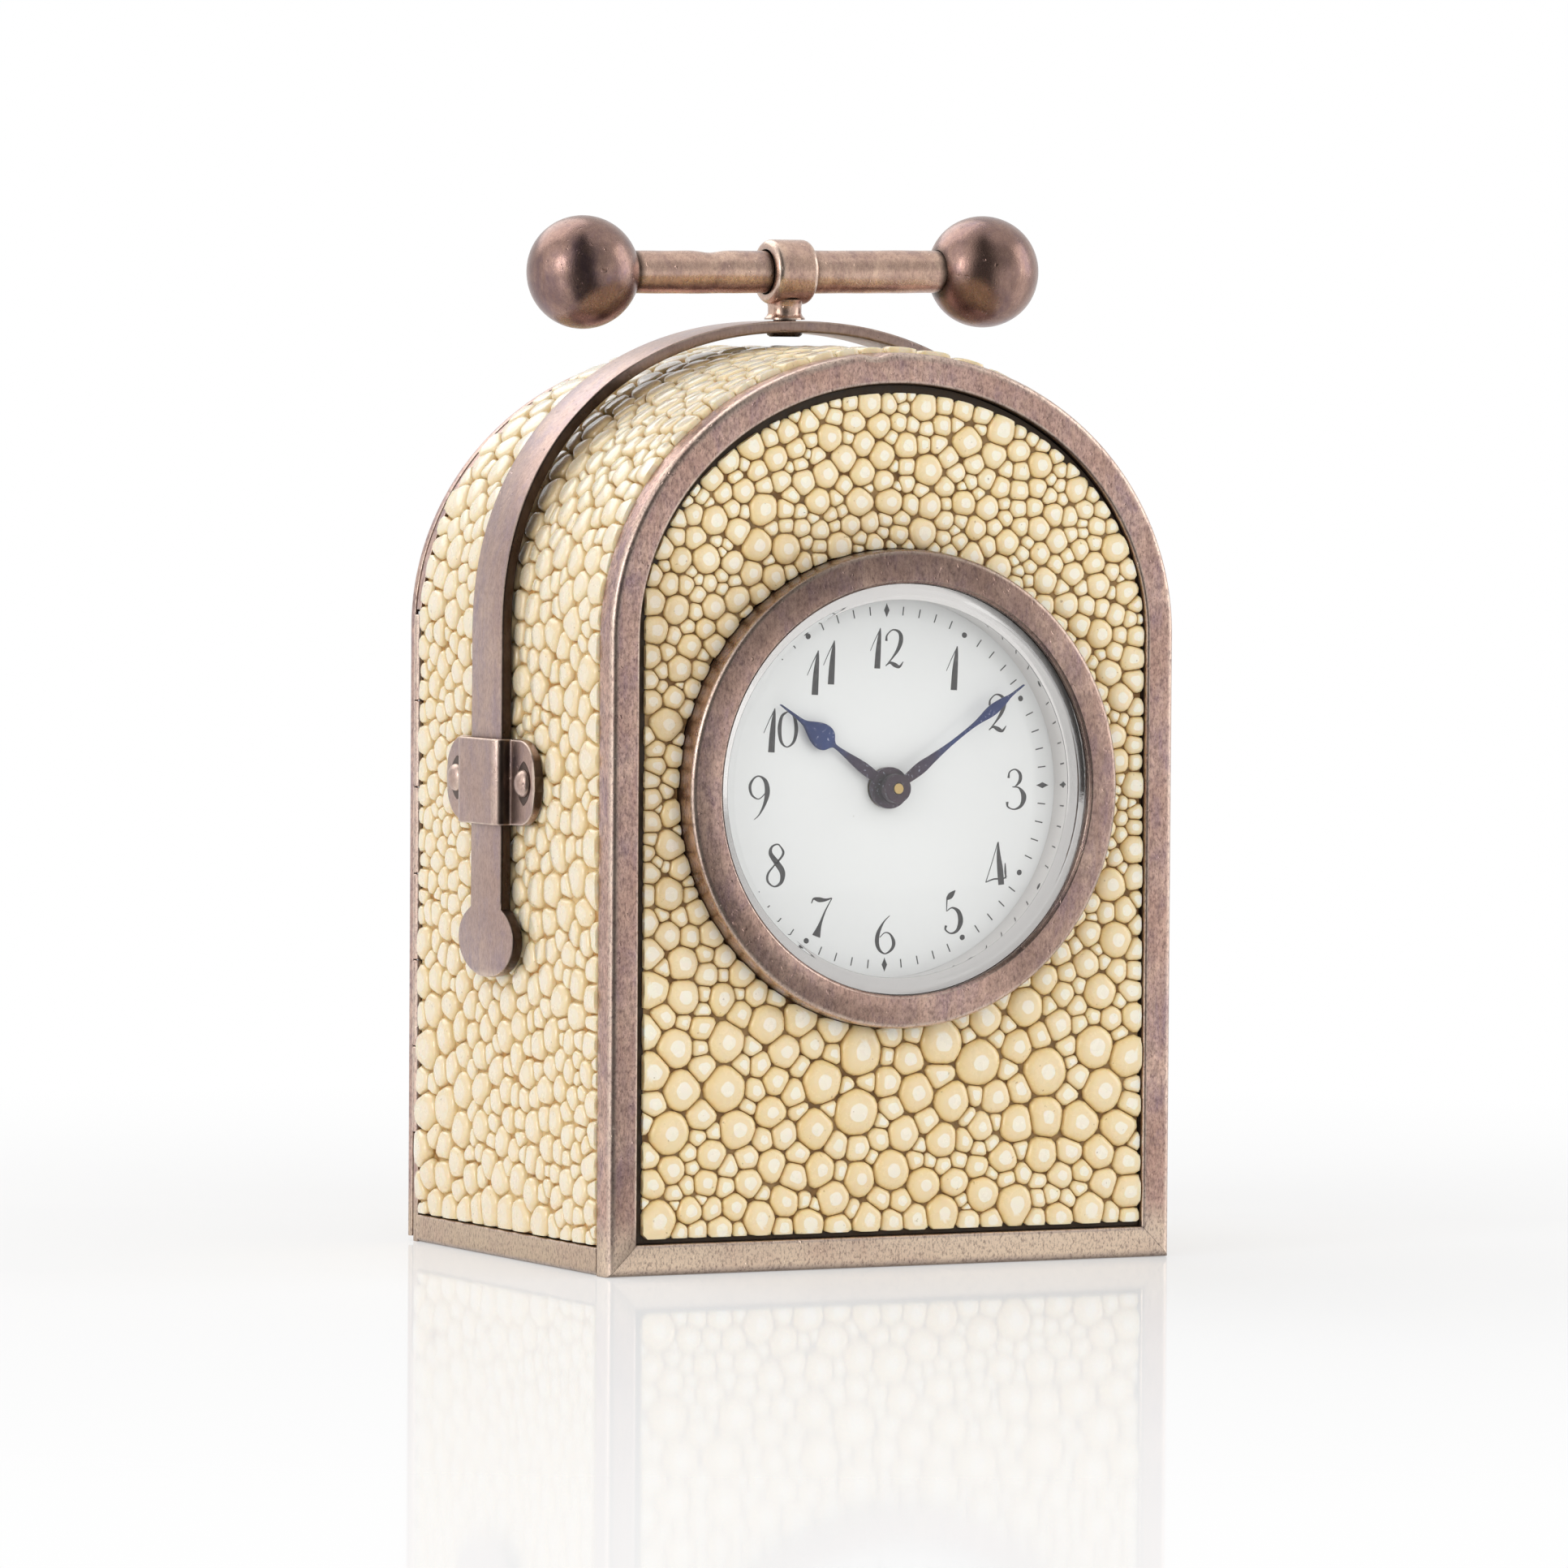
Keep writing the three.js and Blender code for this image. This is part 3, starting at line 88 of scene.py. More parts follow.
def make_lamp(name, place, aim_height, size, power, mirrored=True):
    """A soft lamp aimed at the middle of the clock. Glass doesn't show it, and metal only if mirrored."""
    data = bpy.data.lights.new(name, "AREA")
    data.shape, data.energy = "RECTANGLE", power
    data.size, data.size_y = size[0] * MM, size[1] * MM
    lamp = bpy.data.objects.new(name, data)
    scene.collection.objects.link(lamp)
    lamp.location = Vector(place) * MM
    lamp.rotation_mode = "QUATERNION"
    lamp.rotation_quaternion = (Vector((0, 0, aim_height)) - Vector(place)).to_track_quat("-Z", "Y")
    lamp.visible_transmission = False
    lamp.visible_glossy = mirrored


class Tree:
    """A node tree that is written top down: each method makes a node and gives its output."""

    def __init__(self, tree):
        self.tree = tree
        tree.nodes.clear()

    def add(self, kind, inputs=None, output=0, **settings):
        """Makes a node, and sets or links its sockets."""
        node = self.tree.nodes.new("ShaderNode" + kind)
        for key, value in settings.items():
            setattr(node, key, value)
        for key, value in (inputs or {}).items():
            if isinstance(value, bpy.types.NodeSocket):
                self.tree.links.new(value, node.inputs[key])
            else:
                node.inputs[key].default_value = value
        return node.outputs[output]

    def math(self, operation, a, b=0.0, clamp=False):
        return self.add("Math", {0: a, 1: b}, operation=operation, use_clamp=clamp)

    def product(self, a, b):
        return self.math("MULTIPLY", a, b)

    def vector(self, operation, a, b=(0, 0, 0)):
        scalar = operation in ("DOT_PRODUCT", "DISTANCE", "LENGTH")
        return self.add("VectorMath", {0: a, 1: b}, "Value" if scalar else "Vector", operation=operation)

    def mix(self, factor, a, b, blend="MIX"):
        a, b = ((*colour, 1) if isinstance(colour, tuple) else colour for colour in (a, b))
        return self.add("Mix", {0: factor, 6: a, 7: b}, 2, data_type="RGBA", blend_type=blend)

    def noise(self, vector, scale, detail=4.0, rough=0.55, distortion=0.0):
        return self.add("TexNoise", {"Vector": vector, "Scale": scale, "Detail": detail, "Roughness": rough,
                                     "Distortion": distortion})

    def ramp(self, value, *stops):
        """Stops are pairs of a place and a grey or a colour."""
        result = self.add("ValToRGB", {0: value})
        elements = result.node.color_ramp.elements
        while len(elements) < len(stops):
            elements.new(0.5)
        for element, (at, colour) in zip(elements, stops):
            element.position = at
            element.color = (*colour, 1) if isinstance(colour, tuple) else (colour, colour, colour, 1)
        return result

    def spread(self, value, low, high, to_low=0.0, to_high=1.0):
        return self.add("MapRange", {0: value, 1: low, 2: high, 3: to_low, 4: to_high})

    def stretch(self, vector, scale):
        return self.add("Mapping", {"Vector": vector, "Scale": scale})

    def bump(self, height, distance, strength=1.0, below=None):
        inputs = {"Height": height, "Distance": distance, "Strength": strength}
        if below is not None:
            inputs["Normal"] = below
        return self.add("Bump", inputs)

    def place(self):
        return self.add("TexCoord", output="Object")

    def named(self, name):
        return self.add("Attribute", output="Fac", attribute_name=name)

    def rays(self, *kinds):
        """1 for the rays of these kinds and 0 for the others."""
        total, *others = (self.add("LightPath", output=kind) for kind in kinds)
        for other in others:
            total = self.math("ADD", total, other, clamp=True)
        return total

    def blend(self, factor, a, b):
        return self.add("MixShader", {0: factor, 1: a, 2: b})

    def white(self, kind, strength):
        return self.add(kind, {"Color": (1, 1, 1, 1), "Strength": strength})

    def out(self, shader, kind="Material"):
        node = self.tree.nodes.new("ShaderNodeOutput" + kind)
        self.tree.links.new(shader, node.inputs["Surface"])

    def surface(self, inputs):
        self.out(self.add("BsdfPrincipled", inputs))


def material(name, build, *values):
    """A material whose nodes a function builds, from the place in the object and these values."""
    made = bpy.data.materials.new(name)
    made.use_nodes = True
    tree = Tree(made.node_tree)
    build(tree, tree.place(), *values)
    return made


def make_world():
    """A white room with a dark strip at the camera, which the metal mirrors."""
    world = bpy.data.worlds.new("studio")
    world.use_nodes = True
    scene.world = world
    t = Tree(world.node_tree)
    view = t.add("TexCoord", output="Generated")
    level = t.vector("NORMALIZE", t.stretch(view, (1, 1, 0)))
    toward = t.vector("DOT_PRODUCT", level, TO_CAMERA)
    above = t.vector("DOT_PRODUCT", view, (0.30, -0.80, 0.52))
    ahead = t.vector("DOT_PRODUCT", view, (-0.35, -0.90, 0.25))
    dark = t.product(t.spread(toward, 0.77, 0.96, 0.95, 0.05), t.spread(above, 0.84, 0.96, 1.0, 0.6))
    fill = t.white("Background", t.spread(ahead, -0.6, 1.0, 0.25, 0.92))
    lit = t.blend(t.rays("Is Glossy Ray"), fill, t.white("Background", dark))
    lit = t.blend(t.rays("Is Transmission Ray"), lit, t.white("Background", 0.7))
    t.out(t.blend(t.rays("Is Camera Ray"), lit, t.white("Background", 1.0)), "World")


def paper_nodes(t, at):
    """White paper that keeps the clock's shadow and a faint, fading reflection of it."""
    rays = t.rays("Is Camera Ray", "Is Glossy Ray", "Is Transmission Ray")
    away = t.vector("LENGTH", at)
    lit = t.add("BsdfDiffuse", {"Color": (0.90, 0.90, 0.90, 1)})
    glow = t.product(rays, t.spread(away, 0.06, 0.17, 0.5, 1.0))
    paper = t.blend(glow, lit, t.white("Emission", 1.0))

    # The dark strip that each ball mirrors goes on down the floor
    strips = []
    for x in (-BALL_X, BALL_X):
        apart = t.vector("SUBTRACT", at, (x * MM, HANDLE_Y * MM, 0))
        unit = t.vector("NORMALIZE", t.stretch(apart, (1, 1, 0)))
        strips.append(t.spread(t.vector("DOT_PRODUCT", unit, TO_CAMERA), 0.80, 0.96))
    dark = t.product(t.math("MAXIMUM", *strips), t.spread(away, 0.03, 0.06))
    paper = t.blend(t.product(dark, t.rays("Is Glossy Ray")), paper, t.white("Emission", 0.06))

    ahead = t.vector("DOT_PRODUCT", at, TO_CAMERA)
    fade = t.product(t.spread(ahead, 0.02, 0.40, 0.24, 0.0), t.spread(ahead, -0.12, -0.03))
    mirror = t.add("BsdfGlossy", {"Color": (1, 1, 1, 1), "Roughness": 0.05})
    t.out(t.blend(t.product(fade, rays), paper, mirror))


def make_floor():
    mesh = bpy.data.meshes.new("floor")
    corners = [(x, y, -2e-5) for x, y in ((-6, -4), (6, -4), (6, 8), (-6, 8))]
    mesh.from_pydata(corners, [], [(0, 1, 2, 3)])
    floor = bpy.data.objects.new("floor", mesh)
    scene.collection.objects.link(floor)
    mesh.materials.append(material("floor", paper_nodes))


make_camera()
make_world()
make_floor()
make_lamp("left", (-950, -120, 330), 30, (1300, 1300), 2.6)
make_lamp("window", (-865, -248, 300), 34, (200, 400), 1.2)
make_lamp("right", (945, -290, 340), 36, (600, 800), 2.4)
make_lamp("top", (-160, 560, 700), 50, (800, 800), 3.0)
make_lamp("front", (160, -900, 420), 36, (900, 600), 1.55, mirrored=False)


# Materials
def silver_nodes(t, at, tan, brown, purple, grainy, low, high, nook_shade=0.95):
    """Tarnished silver in three tones, rough from low to high. Its last value sets the corners' tarnish and
    painted shade.
    """
    cloud = t.noise(at, 150, 5, 0.6)
    patch = t.noise(t.stretch(at, (1, 1, 0.6)), 520, 6, 0.68, 0.4)
    fleck = t.noise(t.stretch(at, (1, 1, 0.5)), 5600, 4, 0.75)
    streak = t.noise(t.stretch(at, (1, 1, 0.07)), 2600, 3, 0.6)
    spots = t.noise(t.stretch(at, (1, 1, 0.7)), 1900, 4, 0.75)
    base = t.mix(t.ramp(patch, (0.38, 0.0), (0.62, 1.0)), purple, tan)
    base = t.mix(t.ramp(cloud, (0.34, 0.0), (0.62, 1.0)), brown, base)
    base = t.mix(grainy, base, t.ramp(spots, (0.36, 0.70), (0.50, 1.0), (0.66, 1.22)), "MULTIPLY")
    toned = t.mix(t.ramp(patch, (0.30, 0.7), (0.46, 0.0)), base, purple)
    toned = t.mix(t.ramp(streak, (0.34, 0.55), (0.52, 0.0)), toned, brown)

    # Paler silver along the foot, bright worn edges, dark flecks and dust
    up = t.add("SeparateXYZ", {0: at}, "Z")
    foot = t.product(t.spread(up, 0.0020, 0.0042, 1.0, 0.0), t.ramp(cloud, (0.3, 0.55), (0.55, 1.0)))
    to_rear = t.spread(up.node.outputs["Y"], -0.0168, -0.0150)
    toned = t.mix(foot, toned, t.mix(to_rear, (0.86, 0.68, 0.52), (0.62, 0.475, 0.34)))
    worn = t.product(t.named("wear"), t.ramp(t.noise(at, 900, 4), (0.3, 0.35), (0.62, 1.0)))
    bright = t.mix(worn, toned, (0.68, 0.54, 0.45))
    flecked = t.mix(t.ramp(fleck, (0.47, 0.0), (0.66, 0.7 * grainy)), bright, (0.14, 0.085, 0.085))
    dusted = t.mix(t.ramp(fleck, (0.30, 0.6 * grainy), (0.45, 0.0)), flecked, (0.52, 0.385, 0.29))

    # Black where it is marked, as tarnish and as painted shade, and in the corners
    stain = t.product(t.named("tarnish"), t.ramp(patch, (0.3, 1.0), (0.7, 0.88)))
    black = t.mix(stain, dusted, (0.045, 0.028, 0.020))
    # Ambient occlusion darkens the corners: partly tarnish in the hollows, partly painted shade
    occlusion_shade = t.add("AmbientOcclusion", {"Distance": 0.0011}, "AO", samples=6)
    colour = t.mix(t.ramp(occlusion_shade, (0.25, nook_shade), (0.72, 0.0)), black, (0.035, 0.026, 0.020))

    matt = t.math("ADD", t.product(patch, 0.5), t.product(fleck, 0.5))
    grain = t.bump(t.noise(at, 8000, 2, 0.6), 0.000012, 0.6)
    pits = t.bump(t.ramp(t.noise(at, 1900, 2, 0.5), (0.24, 0.0), (0.32, 1.0)), 0.00006, 0.5, grain)
    scratches = t.bump(t.noise(t.stretch(at, (1, 14, 1)), 1500, 2, 0.5, 0.6), 0.000012, 0.3, pits)
    t.surface({"Base Color": colour, "Metallic": 0.95, "Roughness": t.spread(matt, 0.3, 0.7, low, high),
               "Normal": scratches})


def pearl_nodes(t, at, cream, edge, tip_highlight, root, clean, gloss):
    """A polished nodule of skin: pale on top with a painted highlight, brown at its foot except where the
    groove is clean.
    """
    rise = t.named("rise")
    mottle = t.noise(at, 900, 4, 0.6)
    paler = (cream[0] * 1.06, cream[1] * 1.13, cream[2] * 1.4)
    colour = t.mix(t.named("pearl"), cream, paler)
    colour = t.mix(t.ramp(mottle, (0.5, 0.0), (0.8, 0.25)), colour, edge)
    # Whiter towards the top and on the worn flat: partly the flat's paleness, partly a painted highlight
    colour = t.mix(t.ramp(rise, (0.6, 0.0), (0.96, 0.25)), colour, tip_highlight)
    colour = t.mix(t.product(t.named("tip_highlight"), 0.85), colour, tip_highlight)
    colour = t.mix(t.ramp(rise, (0.0, 1.0), (0.2, 0.45), (0.52, 0.0)), colour, edge)
    groove = t.ramp(t.noise(at, 420, 3, 0.5), (0.40, clean), (0.60, 1.0))
    colour = t.mix(t.product(t.ramp(rise, (0.0, 1.0), (0.12, 0.0)), groove), colour, root)
    # Painted shade: the skin is drawn darker brown where it is marked as shaded
    painted_shade = t.product(t.named("painted_shade"), t.ramp(mottle, (0.35, 0.7), (0.65, 1.0)))
    colour = t.mix(painted_shade, colour, (0.30, 0.18, 0.06))
    specks = t.ramp(t.noise(at, 2600, 2, 0.5), (0.22, 0.55), (0.29, 0.0))
    colour = t.mix(specks, colour, (0.24, 0.13, 0.045))
    t.surface({"Base Color": colour, "Roughness": t.spread(mottle, 0.3, 0.7, 0.2, 0.34),
               "Normal": t.bump(mottle, 0.00003, 0.25), "Subsurface Weight": 0.4,
               "Subsurface Radius": (1.0, 0.62, 0.30), "Subsurface Scale": 0.0007,
               "Coat Weight": gloss, "Coat Roughness": 0.05, "IOR": 1.5})


def hide_nodes(t, at, gain, clean):
    """The brown ground between the nodules. gain scales its tones, and clean is the share of pale patches."""
    fibre = t.noise(at, 1800, 5, 0.65)
    tones = ((0.3, (0.13, 0.06, 0.014)), (0.55, (0.27, 0.135, 0.034)), (0.75, (0.40, 0.22, 0.07)))
    brown = t.ramp(fibre, *((place, tuple(gain * v for v in tone)) for place, tone in tones))
    pale = t.ramp(t.noise(at, 420, 3, 0.5), (0.40, clean), (0.60, 0.0))
    t.surface({"Base Color": t.mix(pale, brown, (0.74, 0.55, 0.28)),
               "Roughness": t.spread(fibre, 0.3, 0.7, 0.5, 0.75), "Normal": t.bump(fibre, 0.0001, 0.6)})


def enamel_nodes(t, at):
    soft = t.noise(at, 160, 3)
    specks = t.ramp(t.noise(at, 3000, 1), (0.17, 0.5), (0.21, 0.0))
    white = t.mix(soft, (0.915, 0.912, 0.908), (0.935, 0.935, 0.935))
    t.surface({"Base Color": t.mix(specks, white, (0.45, 0.42, 0.38)),
               "Roughness": t.spread(soft, 0.3, 0.7, 0.12, 0.2), "Normal": t.bump(soft, 0.00004, 0.15),
               "Coat Weight": 0.3, "Coat Roughness": 0.05})


def ink_nodes(t, at):
    wash = t.noise(at, 2400, 4, 0.6)
    colour = t.ramp(wash, (0.3, (0.022, 0.020, 0.021)), (0.6, (0.055, 0.049, 0.050)),
                    (0.78, (0.15, 0.14, 0.14)))
    t.surface({"Base Color": colour, "Roughness": t.spread(wash, 0.3, 0.7, 0.3, 0.5)})


def glass_nodes(t, at):
    smear = t.noise(at, 260, 3)
    clear = t.add("BsdfPrincipled", {
        "Base Color": (0.985, 0.992, 0.99, 1), "Transmission Weight": 1.0, "IOR": 1.5,
        "Roughness": t.spread(smear, 0.35, 0.75, 0.0, 0.03)})
    through = t.add("BsdfTransparent", {"Color": (0.97, 0.975, 0.97, 1)})
    t.out(t.blend(t.rays("Is Shadow Ray", "Is Diffuse Ray"), clear, through))


def blued_nodes(t, at):
    """Steel tempered blue, brown near the middle of the dial."""
    tint = t.noise(at, 500, 4, 0.6)
    from_centre = t.vector("DISTANCE", at, (0, -0.0165, CENTRE * MM))
    reach = t.math("ADD", from_centre, t.product(tint, 0.0022))
    temper = t.spread(reach, 0.0024, 0.0085)
    colour = t.ramp(temper, (0.0, (0.055, 0.028, 0.045)), (0.45, (0.05, 0.036, 0.08)),
                    (0.75, (0.028, 0.055, 0.20)), (1.0, (0.022, 0.040, 0.16)))
    grain = t.noise(at, 6000, 2, 0.6)
    dusty = t.mix(t.ramp(grain, (0.64, 0.0), (0.70, 0.7)), colour, (0.55, 0.58, 0.72))
    t.surface({"Base Color": dusty, "Metallic": 0.85, "Roughness": t.spread(tint, 0.3, 0.7, 0.28, 0.42),
               "Normal": t.bump(grain, 0.000008, 0.4)})


def metal_nodes(t, at, dark, light, stain, rough, brushed=(1, 1, 1), more=0.16):
    cloud = t.noise(at, 350, 5, 0.6)
    grain = t.noise(t.stretch(at, brushed), 2600, 3, 0.6)
    colour = t.mix(t.ramp(cloud, (0.55, 0.0), (0.8, 0.6)), t.mix(grain, dark, light), stain)
    t.surface({"Base Color": colour, "Metallic": 1.0, "Normal": t.bump(grain, 0.00001, 0.5),
               "Roughness": t.spread(cloud, 0.3, 0.7, rough, rough + more)})


def wood_nodes(t, at):
    at = t.stretch(at, (1, 1, 0.12))
    rings = t.noise(at, 900, 6, 0.7, 1.2)
    pores = t.ramp(t.noise(t.stretch(at, (3, 3, 0.5)), 2400, 2), (0.3, 0.0), (0.42, 1.0))
    figure = t.ramp(rings, (0.3, (0.09, 0.045, 0.02)), (0.55, (0.19, 0.10, 0.047)),
                    (0.75, (0.27, 0.155, 0.08)))
    t.surface({"Base Color": t.mix(pores, (0.035, 0.018, 0.009), figure),
               "Roughness": t.spread(rings, 0.3, 0.7, 0.38, 0.58), "Normal": t.bump(pores, 0.00004, 0.5)})


def looks(build, *rows):
    """Materials of one kind, each from a row of its name and values."""
    return [material(name, build, *values) for name, *values in rows]


# The last silver, for the balls, is a darker copy of the handle's: painted shade
silver, smooth_silver, brown_silver, bezel_silver, ball_silver = looks(
    silver_nodes,
    ("tarnished_silver", (0.75, 0.52, 0.42), (0.53, 0.335, 0.27), (0.385, 0.26, 0.275), 1.0, 0.24, 0.40, 0.5),
    ("strap_silver", (0.54, 0.39, 0.325), (0.43, 0.295, 0.25), (0.37, 0.275, 0.29), 0.45, 0.24, 0.38),
    ("handle_silver", (0.84, 0.60, 0.46), (0.61, 0.405, 0.315), (0.42, 0.28, 0.25), 0.5, 0.2, 0.34),
    ("bezel_silver", (0.74, 0.52, 0.42), (0.555, 0.362, 0.292), (0.43, 0.29, 0.305), 0.9, 0.22, 0.36, 0.0),
    ("ball_silver", (0.37, 0.235, 0.19), (0.26, 0.16, 0.13), (0.20, 0.128, 0.133), 0.35, 0.19, 0.33))
# Pearl looks: cream, edge, tip, root, clean and gloss. The tip colour's whiteness is partly painted
# highlight.
pearl, side_pearl, top_pearl = looks(
    pearl_nodes,
    ("ray_skin_pearls", (0.825, 0.632, 0.325), (0.60, 0.355, 0.10), (0.90, 0.85, 0.74), (0.29, 0.13, 0.028),
     0.42, 0.5),
    ("side_skin_pearls", (0.785, 0.61, 0.335), (0.75, 0.55, 0.27), (0.86, 0.80, 0.68), (0.46, 0.26, 0.08),
     0.15, 0.9),
    ("top_skin_pearls", (0.80, 0.64, 0.38), (0.78, 0.61, 0.34), (0.86, 0.80, 0.68), (0.62, 0.43, 0.20),
     0.1, 0.6))
# The third ground look is nearly black hide, for the painted shadow in the front gap
hide, pale_hide, gap_shadow_look = looks(
    hide_nodes, ("skin_ground", 0.72, 0.22), ("side_skin_ground", 1.7, 0.8), ("gap_dirt", 0.12, 0.0))
brass, steel, white_metal = looks(
    metal_nodes,
    ("brass", (0.62, 0.40, 0.13), (0.80, 0.57, 0.24), (0.36, 0.21, 0.08), 0.24, (1, 1, 6)),
    ("steel", (0.42, 0.42, 0.43), (0.60, 0.60, 0.61), (0.28, 0.25, 0.23), 0.22, (6, 1, 1)),
    ("white_metal", (0.80, 0.765, 0.75), (0.82, 0.79, 0.775), (0.76, 0.72, 0.70), 0.05, (1, 1, 1), 0.05))
enamel = material("enamel", enamel_nodes)
ink = material("dial_paint", ink_nodes)
glass = material("bevelled_glass", glass_nodes)
blued = material("blued_steel", blued_nodes)
wood = material("walnut", wood_nodes)


# Lines and shapes: a line is an array of (x, z) points, and a shape is a pair of points and faces
def ease(value, start, width):
    """0 up to the start, 1 from width past it, and straight between."""
    return np.clip((value - start) / width, 0, 1)


def upright(line, y):
    """A line as points in the plane at y."""
    return np.stack([line[:, 0], np.full(len(line), y), line[:, 1]], -1)


def lengths(line):
    """How far along the line each of its points lies."""
    return np.concatenate([[0], np.cumsum(np.linalg.norm(np.diff(line, axis=0), axis=1))])


def left_of(line):
    """The unit vector to the left of the line at each of its points."""
    left = np.gradient(line, axis=0)[:, ::-1] * np.array([-1, 1])
    return left / np.linalg.norm(left, axis=1)[:, None]


def bend(before, here, after, radius, steps):
    """The round that takes the place of a corner."""
    start, end = (here + (p - here) / np.linalg.norm(p - here) * radius for p in (before, after))
    share = np.linspace(0, 1, steps)[:, None]
    return (1 - share) ** 2 * start + 2 * share * (1 - share) * here + share ** 2 * end


def rounded(corners, steps=5):
    """A closed outline of (a, b, radius) corners, each rounded by its radius."""
    points = np.array(corners, float)[:, :2]
    neighbours = zip(np.roll(points, 1, 0), points, np.roll(points, -1, 0), corners)
    return np.concatenate([bend(*three, corner[2], steps) for *three, corner in neighbours])


def box(low, high, radii, steps):
    """A rounded rectangle between two corners, with a radius for each of its corners from the low one."""
    corners = (low, (high[0], low[1]), high, (low[0], high[1]))
    return rounded([(*corner, radius) for corner, radius in zip(corners, radii)], steps)


def filleted(corners, radius, pitch):
    """A line of corners with rounded bends: its points, their left normals and their lengths."""
    corners = np.array(corners, float)
    bends = [bend(*three, radius, 9) for three in zip(corners, corners[1:], corners[2:])]
    line = np.concatenate([corners[:1], *bends, corners[-1:]])
    length = lengths(line)
    even = np.unique(np.concatenate([length, np.arange(0, length[-1], pitch)]))
    points = np.stack([np.interp(even, length, line[:, k]) for k in range(2)], -1)
    return points, left_of(points), even


def hoop(leg, wide, tall, steps=150, fullness=1.0):
    """A line up a left leg, over an arch and down a right leg. A fullness below 1 squares the arch."""
    angle = np.linspace(pi, 0, steps + 1)
    c, s = np.cos(angle), np.sin(angle)
    over = wide * np.sign(c) * np.abs(c) ** fullness
    x = np.concatenate([-wide + 0 * leg, over, wide + 0 * leg])
    z = np.concatenate([leg, SPRING + tall * np.abs(s) ** fullness, leg[::-1]])
    return np.stack([x, z], -1)


def arch(inset, bottom, steps=150):
    """The case's outline at an inset, from the bottom left over the arch to the bottom right."""
    return hoop(np.linspace(bottom, SPRING, 25)[:-1], HALF - inset, RISE - inset, steps)


def smooth_line(points, steps=9):
    """A smooth curve through the points, with any third value carried along."""
    p = np.array(points, float)
    p = np.vstack([2 * p[0] - p[1], p, 2 * p[-1] - p[-2]])
    out = []
    for a, b, c, d in zip(p, p[1:], p[2:], p[3:]):
        for t in np.linspace(0, 1, steps, endpoint=False):
            bent = (2 * a - 5 * b + 4 * c - d) * t ** 2 + (3 * b - a - 3 * c + d) * t ** 3
            out.append(0.5 * (2 * b + (c - a) * t + bent))
    return np.array(out + [p[-2]])


def grid(rows, closed_rows, closed_columns):
    """A shape over rows of points. The open ends of a tube are capped."""
    rows = np.asarray(rows, float)
    n, m = rows.shape[:2]
    faces = []
    for i in range(n if closed_rows else n - 1):
        for j in range(m if closed_columns else m - 1):
            k, l = (i + 1) % n, (j + 1) % m
            faces.append((i * m + j, i * m + l, k * m + l, k * m + j))
    if closed_rows and not closed_columns:
        faces += [tuple(i * m for i in range(n)), tuple(i * m + m - 1 for i in reversed(range(n)))]
    if closed_columns and not closed_rows:
        faces += [tuple(reversed(range(m))), tuple((n - 1) * m + j for j in range(m))]
    return rows.reshape(-1, 3), faces


def lathe(profile, axis="y", at=(0, 0, 0), segments=96, closed=False):
    """A turned shape: (radius, length) pairs round an axis. A closed profile makes a ring."""
    profile = np.asarray(profile, float)
    turn = np.linspace(0, 2 * pi, segments, endpoint=False)
    r, along = profile[:, :1], np.repeat(profile[:, 1:2], segments, axis=1)
    c, s = r * np.cos(turn), r * np.sin(turn)
    rows = {"x": (along, c, s), "y": (c, along, s), "z": (c, s, along)}[axis]
    return grid(np.stack(rows, -1) + np.array(at, float), closed, True)


def section_sweep(section, bottom, closed):
    """Sweeps (inset, y) points along the arch. A closed sweep also runs along the bottom."""
    return grid([upright(arch(inset, bottom(inset)), y) for inset, y in section], True, closed)


def strip(points, normals, across, half_widths, thickness, edge):
    """A bent band: a rounded flat section along a line of points."""
    rows = []
    t = thickness / 2
    for point, normal, half in zip(points, normals, half_widths):
        e = min(edge, half * 0.8)
        section = box((-half, -t), (half, t), (e, e, e, e), 4)
        rows.append(point + section[:, :1] * across + section[:, 1:] * normal)
    return grid(rows, False, True)


# Pieces: a shape or several, with a material, on a body
def wear_of(mesh):
    """How sharply the surface turns outwards at each point, from 0 to 1."""
    bm = bmesh.new()
    bm.from_mesh(mesh)
    values = np.zeros(len(bm.verts))
    for edge in bm.edges:
        if len(edge.link_faces) == 2:
            a, b = edge.link_faces
            span = (a.calc_area() + b.calc_area()) / (2 * max(edge.calc_length(), 1e-7))
            turn = edge.calc_face_angle_signed(0.0) / max(span, 1e-5) * MM
            for vert in edge.verts:
                values[vert.index] = max(values[vert.index], turn)
    bm.free()
    return ease(values, 0.4, 1.6)


def mark(mesh, label, values):
    """Gives each point a value that a material reads by its label."""
    mesh.attributes.new(label, "FLOAT", "POINT").data.foreach_set("value", values.astype(np.float32))


def dress(name, mesh, look, body, replaces, sharp):
    mesh.materials.append(look)
    mesh.shade_smooth()
    mesh.set_sharp_from_angle(angle=radians(sharp))
    made = bpy.data.objects.new(name, mesh)
    scene.collection.objects.link(made)
    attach(made, body)
    if replaces:
        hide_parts(*replaces)


